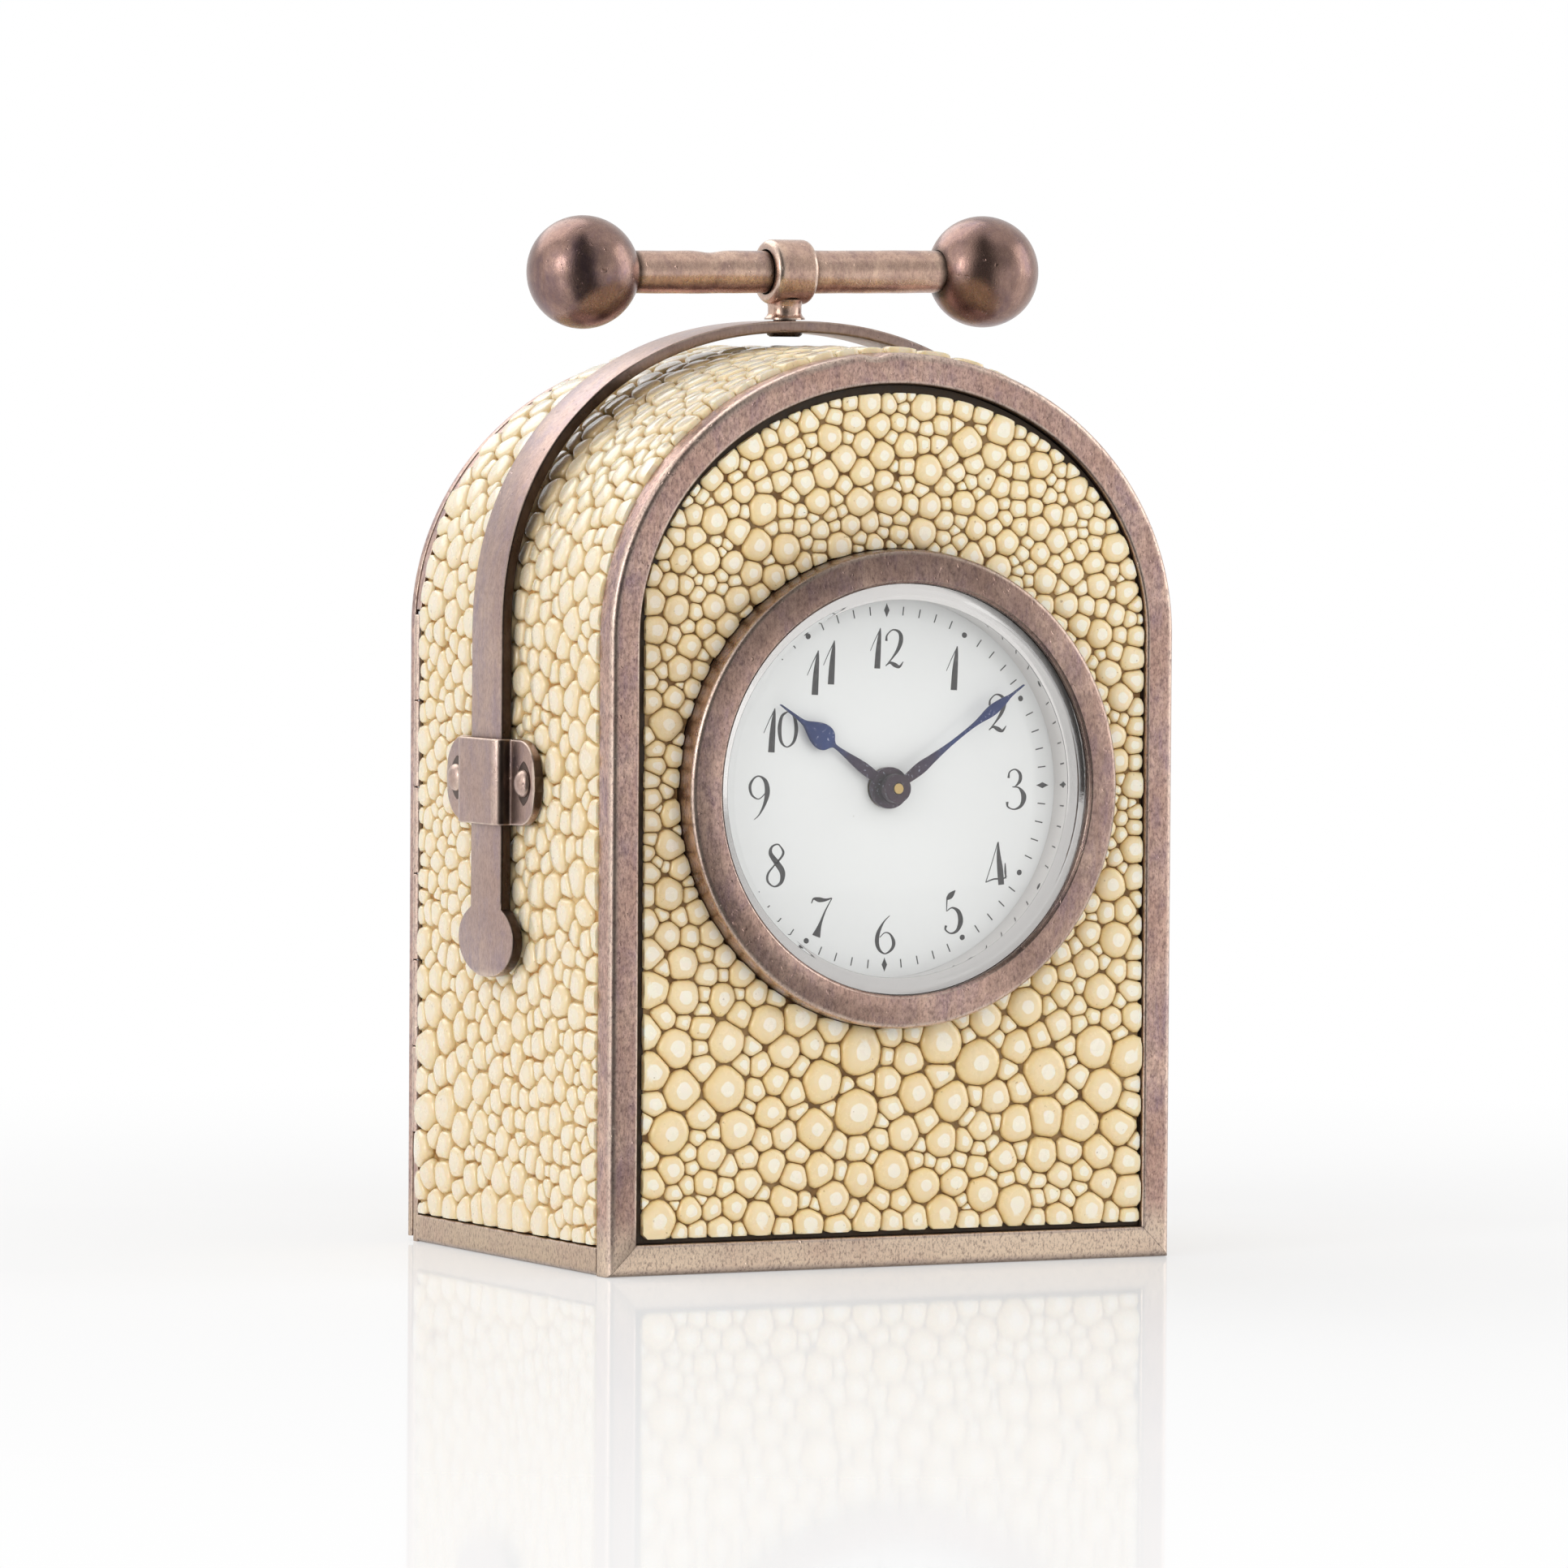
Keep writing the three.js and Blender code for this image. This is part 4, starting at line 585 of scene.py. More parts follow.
def piece(name, shapes, look, body="case", replaces=(), sharp=38, wear=None, tarnish=None):
    """One mesh of several shapes. Wear and the tarnish and painted shade are functions of its points and
    normals.
    """
    points, faces, count = [], [], 0
    for shape_points, shape_faces in shapes:
        faces += [tuple(i + count for i in face) for face in shape_faces]
        points.append(shape_points)
        count += len(shape_points)
    mesh = bpy.data.meshes.new(name)
    mesh.from_pydata((np.concatenate(points) * MM).tolist(), [], faces)
    bm = bmesh.new()
    bm.from_mesh(mesh)
    bmesh.ops.remove_doubles(bm, verts=bm.verts, dist=2e-7)
    bmesh.ops.recalc_face_normals(bm, faces=bm.faces)
    bm.to_mesh(mesh)
    bm.free()
    dress(name, mesh, look, body, replaces, sharp)
    points = np.array([v.co for v in mesh.vertices]) / MM
    normals = np.array([v.normal for v in mesh.vertices])
    if wear:
        mark(mesh, "wear", np.maximum(wear_of(mesh), wear(points, normals)))
    if tarnish:
        mark(mesh, "tarnish", np.clip(tarnish(points, normals), 0, 1))


def edges(p, n):
    """Wear on the edges and nowhere else."""
    return np.zeros(len(p))


# Front frame and base
FRAME_FACE, FRAME_SEAT = 2.3, -16.3  # width of the frame's face, and the plane behind it
NICK_X, NICK_WIDTH, NICK_DEPTH, NICK_FACE = -1.7, 0.95, 0.28, 1.2  # the nick in the top of the frame


def frame_section():
    return rounded([(0, -15.2, 0.12), (0, FRONT, 0.62), (FRAME_FACE, FRONT, 0.3),
                    (FRAME_FACE, FRAME_SEAT, 0.1), (0.9, FRAME_SEAT, 0.05), (0.9, -15.2, 0.1)], 7)


def front_arch():
    rows = []
    for inset, y in frame_section():
        line = arch(inset, inset + 0.03)
        nick = NICK_DEPTH * np.clip(1 - ((line[:, 0] - NICK_X) / NICK_WIDTH) ** 2, 0, 1) ** 1.5
        if y < FRAME_SEAT and inset < NICK_FACE:
            line[:, 1] -= np.where(line[:, 1] > SPRING + 10, nick * (1 - inset / NICK_FACE), 0)
        rows.append(upright(line, y))
    return [grid(rows, True, False)]


def front_sill():
    rows = []
    for inset, y in frame_section():
        across = np.linspace(-(HALF - inset), HALF - inset, 40)
        rows.append(upright(np.stack([across, np.full(40, inset)], -1), y))
    return [grid(rows, True, False)]


def facing_in(p, n):
    """How far the front frame's surface faces its own opening."""
    out_x, out_z = p[:, 0] / HALF, np.maximum(p[:, 2] - SPRING, 0) / RISE
    inward = -(n[:, 0] * out_x + n[:, 2] * out_z) / np.maximum(np.hypot(out_x, out_z), 1e-6)
    return ease(inward, 0.35, 0.3)


def frame_inner_shadow(p, n):
    """Painted shadow: black on the inner wall at the top of the arch and on the left."""
    return facing_in(p, n) * np.where(p[:, 0] > 0, ease(p[:, 2], 54, 6), 1)


def frame_inner_paling(p, n):
    """Paler silver on the inner wall down the right, through the wear mark."""
    return facing_in(p, n) * np.where(p[:, 0] > 0, 1 - ease(p[:, 2], 50, 6), 0)


def base():
    half_inside, floor, upstand = 22.1, 1, 2.05
    section = rounded([(-HALF, 0, 0.35), (HALF, 0, 0.35), (HALF, upstand, 0.2), (half_inside, upstand, 0.12),
                       (half_inside, floor, 0.1), (-half_inside, floor, 0.1), (-half_inside, upstand, 0.12),
                       (-HALF, upstand, 0.2)], 5)
    return [grid([upright(section, y) for y in np.linspace(-15.15, 15.45, 24)], False, True)]


# The arch's marks: painted shadow black on the inner wall at the top and left, paler silver down the right
piece("silver_front_arch", front_arch(), silver, replaces=["front_frame_arch"], wear=frame_inner_paling,
      tarnish=frame_inner_shadow)
piece("silver_front_sill", front_sill(), silver, replaces=["front_frame_sill"], wear=edges)
piece("silver_base", base(), silver, replaces=["base_plate"], wear=edges)

# Rear rim and door
KNUCKLES, KNUCKLE_LOW, KNUCKLE_LENGTH, KNUCKLE_PITCH = 6, 8.2, 6.35, 6.45
NOTCH_X, NOTCH_LOW, NOTCH_HIGH = -21.9, 8.05, 46.95  # the rim's notch for the hinge


def hinge_barrels(first, web_from, web_to):
    """Every second knuckle, each with the web that joins it to its plate."""
    shapes = []
    bore, end, radius, chamfer = 0.19, 0.36, 0.42, 0.06
    for index in range(first, KNUCKLES, 2):
        low = KNUCKLE_LOW + index * KNUCKLE_PITCH
        high = low + KNUCKLE_LENGTH
        barrel = [(bore, low), (end, low), (radius, low + chamfer), (radius, high - chamfer), (end, high),
                  (bore, high)]
        shapes.append(lathe(barrel, "z", HINGE, 32, closed=True))
        web = box((-22.6, web_from), (NOTCH_X, web_to), (0.02, 0.02, 0.02, 0.02), 2)
        shapes.append(grid([np.column_stack([web, np.full(len(web), z)]) for z in (low, high)], False, True))
    return shapes


def rear_rim():
    leg = np.sort(np.concatenate([np.linspace(0, SPRING, 20), [NOTCH_LOW - 1e-3, NOTCH_LOW]]))[:-1]
    rows = []
    for inset, y in box((0, 15.5), (1.75, 16.4), (0.1, 0.1, 0.15, 0.3), 5):
        x, z = hoop(leg, HALF - inset, RISE - inset).T
        z = np.maximum(z, inset)
        x = np.where((z >= NOTCH_LOW) & (z < NOTCH_HIGH), np.maximum(x, NOTCH_X), x)
        rows.append(upright(np.stack([x, z], -1), y))
    return [grid(rows, True, True)] + hinge_barrels(first=0, web_from=15.56, web_to=15.93)


def door_frame():
    lift = 0.35  # of the door's bottom edge
    plate = box((0, 16.5), (2.5, REAR), (0.12, 0.1, 0.25, 0.3), 5)
    plug = box((2.05, 15.75), (3.35, 16.52), (0.15, 0.1, 0.05, 0.05), 4)
    return [section_sweep(plate, lambda inset: max(inset, lift + inset * 0.86), True),
            section_sweep(plug, lambda inset: inset, True),
            *hinge_barrels(first=1, web_from=16.03, web_to=16.6)]


piece("silver_rear_rim", rear_rim(), silver, replaces=["rear_rim"], wear=edges)
piece("silver_door_frame", door_frame(), silver, "door", ["door_frame"], wear=edges)


# Handle
def strap():
    """A band from one oval pad over the arch to the other, its arch a little fuller than an ellipse."""
    pad, pad_tall, pad_half, half_width = 23.4, 2.75, 4.7, 2.6
    low = np.concatenate([pad - pad_tall * np.cos(np.linspace(0.02, pi / 2, 16)),
                          pad + pad_tall * np.sin(np.linspace(0.05, 1.0, 14)),
                          np.linspace(26.2, SPRING, 20)[:-1]])
    line = hoop(low, HALF + 0.825, RISE + 1.85, fullness=2 / 2.17)
    z = line[:, 1]
    oval = pad_half * np.sqrt(np.clip(1 - ((z - pad) / pad_tall) ** 2, 0.0005, 1))
    plain = half_width - 0.2 * ease(z, SPRING, 15)
    half = np.where(z < pad, oval, np.where(z < pad + pad_tall, np.maximum(oval, half_width), plain))
    return [strip(upright(line, HANDLE_Y), upright(left_of(line), 0), np.array([0, 1, 0]), half,
                  thickness=0.85, edge=0.17)]


def uneven(points, scale, depth, seed):
    """Small hand-made unevenness: a smooth wave field over the points."""
    rng = np.random.default_rng(seed)
    waves = 7
    moved = np.zeros(len(points))
    for _ in range(waves):
        moved += np.sin(points @ (rng.normal(size=3) * scale) + rng.uniform(0, 6.28))
    return moved / waves * depth


def grip():
    """The bar between the balls, with a dent in its top."""
    half, dent_x, dent_width, dent_depth = 15.0, -6.3, 0.9, 0.16
    along = [-half, *np.linspace(-half + 0.4, half - 0.4, 60), half]
    profile = [(0, -half)] + [(BAR_RADIUS, v) for v in along] + [(0, half)]
    points, faces = lathe(profile, "x", (0, HANDLE_Y, BAR_Z), 64)
    around = points - np.array([0, HANDLE_Y, BAR_Z])
    around[:, 0] = 0
    radius = np.linalg.norm(around, axis=1)
    dent = dent_depth * np.exp(-((points[:, 0] - dent_x) / dent_width) ** 2)
    dent *= np.clip(around[:, 2] / BAR_RADIUS, 0, 1) ** 4
    push = uneven(points, scale=0.9, depth=0.05, seed=3) - dent
    points += around / np.maximum(radius, 1e-6)[:, None] * np.where(radius > 1, push, 0)[:, None]
    points[:, 2] += LEAN * points[:, 0]
    return [(points, faces)]


def ball(side):
    """A ball with a socket for the bar."""
    mouth = 1.6
    angle = np.linspace(asin(mouth / BALL_RADIUS), pi, 44)
    profile = [(0, -2.0), (1.5, -2.0), (mouth, -3.75)]
    profile += [(BALL_RADIUS * sin(a), -BALL_RADIUS * cos(a)) for a in angle]
    points, faces = lathe(profile, "x", segments=88)
    outside = np.linalg.norm(points, axis=1) > 4
    bumps = uneven(points, scale=0.8, depth=0.008, seed=5 + side)
    points *= 1 + np.where(outside, bumps, 0)[:, None]
    points[:, 0] *= side
    return [(points + np.array([side * BALL_X, HANDLE_Y, BAR_Z + LEAN * side * BALL_X]), faces)]


def collar():
    """The ring round the bar, on a post that is riveted through the strap."""
    ring = box((1.63, -1.65), (2.40, 1.75), (0.12, 0.6, 0.45, 0.12), 8)
    post = [(0, 67.65), (1.1, 67.65), (1.3, 67.8), (1.35, 68.0), (0.85, 68.0), (0.85, 68.92), (1.52, 68.92),
            (1.5, 69.05), (1.33, 69.2), (1.25, 69.4), (1.25, 69.9), (1.32, 70.2), (1.45, 70.4), (0, 70.4)]
    return [lathe(ring, "x", (0, HANDLE_Y, BAR_Z), 72, closed=True), lathe(post, "z", (0, HANDLE_Y, 0), 56)]


def keeper(side):
    """A bridge over the strap, with a round-ended foot on each side of it."""
    foot_x, bridge_x, end_y, step_y, corner = 23.55, 24.8, 7.55, 3.15, 2.7
    half_height = 3.15
    turns = [(-end_y, foot_x), (-step_y, foot_x), (-step_y, bridge_x)]
    line, left, along = filleted(turns + [(-y, x) for y, x in reversed(turns)], radius=0.6, pitch=0.3)
    end = np.minimum(along, along[-1] - along)
    round_end = half_height - corner + np.sqrt(np.clip(corner ** 2 - (corner - end) ** 2, 0.02, None))
    half = np.where(end < corner, round_end, half_height)
    points = np.stack([side * line[:, 1], HANDLE_Y + line[:, 0], np.full(len(line), KEEPER_Z)], -1)
    normals = np.stack([side * left[:, 1], left[:, 0], 0 * along], -1)
    return [strip(points, normals, np.array([0, 0, 1]), half, thickness=0.7, edge=0.16)]


def rivet(side, along):
    under_head = 23.95
    dome = [(1.02 * cos(a), under_head + 0.6 * sin(a)) for a in np.linspace(0.0, pi / 2, 12)]
    profile = [(0, 21.3), (0.5, 21.3), (0.5, under_head), (0.9, 23.93)] + dome
    points, faces = lathe(profile, "x", segments=40)
    points[:, 0] *= side
    return [(points + np.array([0, HANDLE_Y + along * RIVET_Y, KEEPER_Z]), faces)]


def seat(side, along):
    """The sunk, eye-shaped seat that shows round a rivet."""
    turn = np.linspace(0, 2 * pi, 48, endpoint=False)
    y, z = 1.15 * np.cos(turn) * np.abs(np.cos(turn)) ** 0.6, 1.62 * np.sin(turn)
    rows = []
    for level, scale in ((23.89, 1.0), (23.925, 1.0), (23.93, 0.9), (23.93, 0.2)):
        rows.append(np.stack([np.full(48, side * level), HANDLE_Y + along * RIVET_Y + y * scale,
                              KEEPER_Z + z * scale], -1))
    return [grid(rows, False, True)]


def strap_edge_shade(p, n):
    """Painted shade: black on the edges that face the front and the back, less so high up."""
    return (np.abs(n[:, 1]) - 0.25) / 0.3 * np.clip((66.5 - p[:, 2]) / 6, 0.15, 1)


def keeper_step_shade(p, n):
    """Painted shade: black on the steps of the bridge."""
    return (np.abs(n[:, 1]) - 0.72) / 0.2


def grip_tarnish(p, n):
    """Black beside the balls and the collar."""
    return np.maximum((np.abs(p[:, 0]) - 12.15) / 0.5, (2.35 - np.abs(p[:, 0])) / 0.5)


def ball_tarnish(p, n):
    """Black round the mouth of the socket."""
    from_axis = np.hypot(p[:, 1] - HANDLE_Y, p[:, 2] - BAR_Z)
    return np.where(np.abs(p[:, 0]) < BALL_X, (2.15 - from_axis) / 0.5, 0)


def seat_tarnish(p, n):
    return np.full(len(p), 0.9)


def collar_tarnish(p, n):
    """Black on the riveted end under the strap."""
    return (68.1 - p[:, 2]) / 0.1


piece("handle_band", strap(), smooth_silver, "handle", ["handle_strap"], wear=edges, tarnish=strap_edge_shade)
piece("handle_collar_ring", collar(), brown_silver, "handle", ["handle_collar"], wear=edges,
      tarnish=collar_tarnish)
piece("handle_grip", grip(), brown_silver, "handle", ["handle_bar"], tarnish=grip_tarnish)
for side, word in ((-1, "left"), (1, "right")):
    piece(f"handle_ball_{word}", ball(side), ball_silver, "handle", [f"ball_{word}"], tarnish=ball_tarnish)
    piece(f"keeper_bridge_{word}", keeper(side), smooth_silver, replaces=[f"keeper_{word}"], wear=edges,
          tarnish=keeper_step_shade)
    for along, end in ((-1, "front"), (1, "rear")):
        piece(f"keeper_stud_{word}_{end}", rivet(side, along), smooth_silver,
              replaces=[f"keeper_rivet_{word}_{end}"], wear=edges)
        piece(f"keeper_seat_{word}_{end}", seat(side, along), smooth_silver, tarnish=seat_tarnish)

# Bezel, glass and dial
bezel = rounded([(BEZEL_RADIUS, -16.2, 0.05), (BEZEL_RADIUS, -18.98, 0.42), (15.7, -19.3, 0.5),
                 (15.2, -19.3, 0.1), (14.95, -19.08, 0.06), (14.95, -18.78, 0.05), (15.65, -18.78, 0.02),
                 (15.65, -16.2, 0.05)], 7)
crystal = [(0, -19.15), (14.05, -19.15), (14.14, -19.135), (14.22, -19.1), (14.86, -18.8), (14.9, -18.76),
           (15.6, -18.76), (15.6, -17.47), (15.56, -17.45), (0, -17.45)]
sight = box((13.68, -17.4), (15.6, -15.03), (0.05, 0.05, 0.05, 0.02), 4)
dial = [(1.4, -14.2), (1.4, -14.94), (1.46, -15.0), (14.7, -15.0), (14.95, -14.96), (15.05, -14.85),
        (15.05, -14.2)]


def bezel_tarnish_and_shade(p, n):
    """Painted shade darker at the top and on the right, and black tarnish at the inner lip and the foot."""
    r = np.hypot(p[:, 0], p[:, 2] - CENTRE)
    top = ease((p[:, 2] - CENTRE) / r, 0.45, 0.45) * 0.5
    right = np.clip((p[:, 0] / r - 0.4) / 0.5, 0, 0.34)
    lip = np.clip((15.1 - r) / 0.15, 0, 0.4)
    return np.max([top, right, lip, (p[:, 1] - FRONT) / 0.5], axis=0)


def turned(profile, segments=160, closed=True):
    return [lathe(profile, "y", AT_DIAL, segments, closed)]


piece("silver_bezel", turned(bezel), bezel_silver, replaces=["bezel"], wear=edges, tarnish=bezel_tarnish_and_shade)
piece("glass_front", turned(crystal, segments=192, closed=False), glass, replaces=["crystal"], sharp=20)
piece("sight_ring_bright", turned(sight), white_metal, replaces=["sight_ring"])
piece("dial_enamel", turned(dial), enamel, replaces=["dial"])

# Numerals: strokes of (x, z, width) points in a box one high, upright and drawn with a broad pen
STROKES = {
    "0": [[(.25, .99, .03), (.08, .85, .07), (.02, .5, .10), (.07, .15, .07), (.23, .005, .03),
           (.42, .15, .07), (.49, .5, .10), (.42, .86, .07), (.25, .99, .03)]],
    "1": [[(.25, 1.0, .02), (.23, .8, .075), (.20, .45, .12), (.175, .0, .14)],
          [(.24, .96, .02), (.12, .72, .016), (.0, .44, .012)]],
    "2": [[(.03, .70, .06), (.05, .85, .035), (.2, .985, .03), (.37, .92, .07), (.42, .74, .105),
           (.35, .5, .085), (.2, .27, .04), (.02, .05, .02)],
          [(.02, .06, .02), (.13, .135, .05), (.26, .075, .10), (.38, .03, .06), (.48, .16, .015)]],
    "3": [[(.07, .78, .055), (.1, .93, .03), (.24, .99, .03), (.36, .88, .07), (.36, .71, .075),
           (.25, .575, .025), (.17, .56, .02)],
          [(.17, .56, .02), (.34, .53, .04), (.46, .33, .12), (.40, .1, .075), (.22, .005, .03),
           (.06, .07, .035), (.04, .19, .065)]],
    "4": [[(.29, 1.0, .02), (.30, .72, .08), (.34, .36, .13), (.37, .0, .13)],
          [(.28, .98, .018), (.14, .5, .016), (.0, .06, .018)],
          [(.0, .065, .02), (.2, .135, .03), (.4, .135, .03), (.5, .2, .02)],
          [(.46, .5, .02), (.465, .3, .045), (.48, .14, .02)]],
    "5": [[(.05, .80, .05), (.14, .885, .12), (.25, 1.0, .02)],
          [(.055, .84, .03), (.045, .52, .016)],
          [(.045, .52, .016), (.18, .60, .03), (.33, .5, .085), (.38, .28, .11), (.30, .07, .065),
           (.15, .005, .03), (.025, .09, .035), (.035, .19, .055)]],
    "6": [[(.36, .99, .015), (.2, .82, .035), (.06, .55, .09), (.03, .3, .10), (.1, .1, .065),
           (.25, .005, .03), (.42, .12, .065), (.47, .3, .085), (.38, .5, .04), (.24, .55, .022),
           (.1, .43, .02)]],
    "7": [[(.02, .86, .02), (.08, .975, .045), (.22, .95, .11), (.38, .94, .065), (.56, .985, .02)],
          [(.56, .98, .02), (.38, .64, .035), (.25, .3, .08), (.15, .0, .21)]],
    "8": [[(.36, .88, .03), (.26, .985, .03), (.12, .93, .045), (.09, .77, .085), (.24, .55, .12),
           (.37, .33, .12), (.34, .1, .075), (.18, .005, .03), (.03, .12, .045), (.03, .3, .045),
           (.18, .5, .03), (.34, .68, .045), (.39, .8, .05), (.34, .91, .03)]],
    "9": [[(.38, .6, .02), (.22, .47, .022), (.06, .57, .045), (.02, .78, .06), (.12, .95, .035),
           (.25, .985, .03), (.38, .86, .085), (.42, .62, .11), (.36, .36, .065), (.24, .12, .028),
           (.12, .0, .012)]],
}
# Each figure with its left edge, foot and height on the dial, from the dial's centre
FIGURES = [("1", -1.30, 8.57, 2.9), ("2", -.11, 8.60, 2.78), ("1", 4.86, 6.96, 3.16),
           ("2", 8.30, 3.90, 2.75), ("3", 9.75, -1.73, 2.93), ("4", 8.18, -7.16, 3.11),
           ("5", 4.85, -10.62, 3.11), ("6", -.70, -11.98, 2.78), ("7", -5.97, -10.61, 2.77),
           ("8", -9.50, -6.99, 3.08), ("9", -10.94, -2.16, 3.14), ("1", -9.80, 2.64, 3.15),
           ("0", -8.60, 3.00, 2.58), ("1", -6.36, 6.72, 3.18), ("1", -5.06, 7.46, 3.14)]
FIGURE_STRETCH = np.array([1.1, 1, 1.16])  # of a figure's breadth, height and strokes
PAINT_FACE, PAINT_STEP, PAINT_THICKNESS = -15.013, 0.002, 0.012  # a step keeps crossing strokes apart


def painted(line, level=PAINT_FACE):
    """A painted stroke on the dial, of (x, z, width) points."""
    along = np.gradient(line[:, :2], axis=0)
    along /= np.maximum(np.linalg.norm(along, axis=1), 1e-9)[:, None]
    across = np.stack([-along[:, 1], along[:, 0]], -1) * np.maximum(line[:, 2:], 0.012) / 2
    a, b = (line[:, :2] + sign * across + np.array([0, CENTRE]) for sign in (1, -1))
    back = level + PAINT_THICKNESS
    rows = [upright(a, level), upright(b, level), upright(b, back), upright(a, back)]
    return grid(np.swapaxes(rows, 0, 1), False, True)


def minute_mark(minute):
    """A lozenge at each quarter, a dot at each other five minutes and a line at the rest."""
    if minute % 15 == 0:
        start, tall = 12.26, 0.98
        marks = [(s, 0.42 * (1 - abs(2 * s - 1)) ** 1.15 + 0.02) for s in (0, .12, .3, .5, .7, .88, 1)]
    elif minute % 5 == 0:
        start, tall = 12.60, 0.2
        marks = [(s, 0.4 * sqrt(max(0, 1 - s * s)) + 0.01) for s in np.linspace(-1, 1, 13)]
    else:
        start, tall = 12.44, 0.62
        marks = [(s, 0.085) for s in (0, .5, 1)]
    turn = radians(90 - 6 * minute)
    out = np.array([cos(turn), sin(turn)])
    return np.array([[*(out * (start + tall * s)), width] for s, width in marks])


def dial_paint():
    shapes = []
    for figure, x, z, tall in FIGURES:
        for stroke in STROKES[figure]:
            line = smooth_line(stroke) * tall * FIGURE_STRETCH + np.array([x, z, 0])
            layer = (len(shapes) + 1) % 3
            shapes.append(painted(line, PAINT_FACE - PAINT_STEP * layer))
    return shapes + [painted(minute_mark(minute)) for minute in range(60)]


piece("dial_numerals", dial_paint(), ink)

# Hands: (half width, share of the length) stations
HAND_THICKNESS = 0.25
MINUTE_SHAPE = [(.3, .06), (.44, .19), (.31, .29), (.16, .42), (.13, .55), (.19, .64), (.4, .75), (.28, .84),
                (.11, .9), (.04, 1)]
HOUR_SHAPE = [(.35, .1), (.42, .22), (.36, .3), (.2, .42), (.15, .495), (.3, .525), (.76, .56), (.93, .61),
              (.82, .67), (.5, .73), (.25, .775), (.15, .82), (.1, .9), (.04, 1)]


def boss(inner, outer, bore, rear, front, ledge, lip):
    """The section of a hand's boss: a collar with a ledge inside its front."""
    return rounded([(inner, rear, 0.03), (outer, rear, 0.05), (outer, front, 0.1), (bore, front, lip),
                    (bore, ledge, 0.01), (inner, ledge, 0.01)], 4)


def hand(length, stations, angle, front, section):
    """A slim hand on a turned boss, its angle clockwise from twelve."""
    line = smooth_line([(share * length, half, 0) for half, share in stations], 8)
    turn = radians(angle)
    out = np.array([sin(turn), 0, cos(turn)])
    across = np.array([cos(turn), 0, -sin(turn)])
    points = np.array([0, front + HAND_THICKNESS / 2, CENTRE]) + line[:, :1] * out
    normals = np.tile([0.0, -1.0, 0.0], (len(line), 1))
    blade = strip(points, normals, across, np.maximum(line[:, 1], 0.03), HAND_THICKNESS, edge=0.09)
    return [blade] + turned(section, 64)


minute_boss = boss(inner=0.77, outer=1.05, bore=0.43, rear=-16.225, front=-17.0, ledge=-16.935, lip=0.02)
hour_boss = boss(inner=1.2, outer=1.5, bore=0.8, rear=-15.35, front=-15.79, ledge=-15.756, lip=0.01)
minute_hand = hand(12.8, MINUTE_SHAPE, angle=54.8, front=-16.6, section=minute_boss)
hour_hand = hand(10.7, HOUR_SHAPE, angle=304.6, front=-15.75, section=hour_boss)
piece("hand_minute", minute_hand, blued, "minute_arbor", ["minute_hand"])
piece("hand_hour", hour_hand, blued, "hour_pipe", ["hour_hand"])


# Ray skin: domed pearls packed close on a brown ground
def scatter(rng, low, high, inside, size, levels):
    """Places of pearls of many sizes, each clear of the ones before it."""
    most = 6000
    places, sizes, count = np.zeros((most, 2)), np.zeros(most), 0
    for smallest, largest, tries, spacing in levels:
        tried = rng.uniform(low, high, (tries, 2))
        good = inside(tried)
        radii = size(tried) * rng.uniform(smallest, largest, tries)
        for place, radius in zip(tried[good], radii[good]):
            apart = ((places[:count] - place) ** 2).sum(1)
            if (apart < (spacing * (sizes[:count] + radius)) ** 2).any():
                continue
            places[count], sizes[count] = place, radius
            count += 1
    return places[:count], sizes[:count]


def cells(places, sizes, inside, directions, crisp=24.0, widest=1.55, groove=0.03):
    """Each pearl's reach in every direction, before and after its panel's edge cuts it.

    A low crisp rounds its corners, widest limits its reach by its size, and groove is kept free round it."""
    turn = np.linspace(0, 2 * pi, directions, endpoint=False)
    way = np.stack([np.cos(turn), np.sin(turn)], -1)
    free = np.zeros((len(places), directions))
    crisp, widest = (np.broadcast_to(v, len(places)) for v in (crisp, widest))
    for index, (place, radius) in enumerate(zip(places, sizes)):
        offset = places - place
        gap = np.linalg.norm(offset, axis=1)
        near = (gap > 0) & (gap < 1.9 * (radius + sizes))
        offset, gap = offset[near], gap[near]
        face = gap / 2 + (radius ** 2 - sizes[near] ** 2) / (2 * gap)
        facing = way @ (offset / gap[:, None]).T
        limit = np.where(facing > 0.05, face / np.maximum(facing, 0.05), 9)
        own = np.full((directions, 1), widest[index] * radius)
        limits = np.concatenate([np.maximum(limit, 0.1), own], 1)
        free[index] = (limits ** -crisp[index]).sum(1) ** (-1 / crisp[index])
    free = np.minimum(free, 0.4 * free + 0.3 * (np.roll(free, 1, 1) + np.roll(free, -1, 1)))
    free -= np.minimum(groove, free * 0.08)

    def fits(reach):
        return inside((places[:, None] + way * reach[..., None]).reshape(-1, 2)).reshape(reach.shape)

    low, high = np.zeros_like(free), free
    for _ in range(12):
        middle = (low + high) / 2
        good = fits(middle)
        low, high = np.where(good, middle, low), np.where(good, high, middle)
    return way, free, np.where(fits(free), free, low)


def packed(seed, low, high, inside, size, levels):
    """Scattered pearls, each moved to the middle of its own cell and grown to fill it."""
    places, sizes = scatter(np.random.default_rng(seed), low, high, inside, size, levels)
    for _ in range(3):
        way, _free, reach = cells(places, sizes, inside, 16)
        middle = (2 / 3) * ((reach ** 3)[..., None] * way).sum(1) / (reach ** 2).sum(1)[:, None]
        places = places + 0.6 * middle
        sizes = 0.5 * sizes + 0.5 * np.sqrt((reach ** 2).mean(1))
    kept = inside(places)
    return places[kept], sizes[kept]


PEARL_FOOT = -0.14  # the pearls go this far into the ground


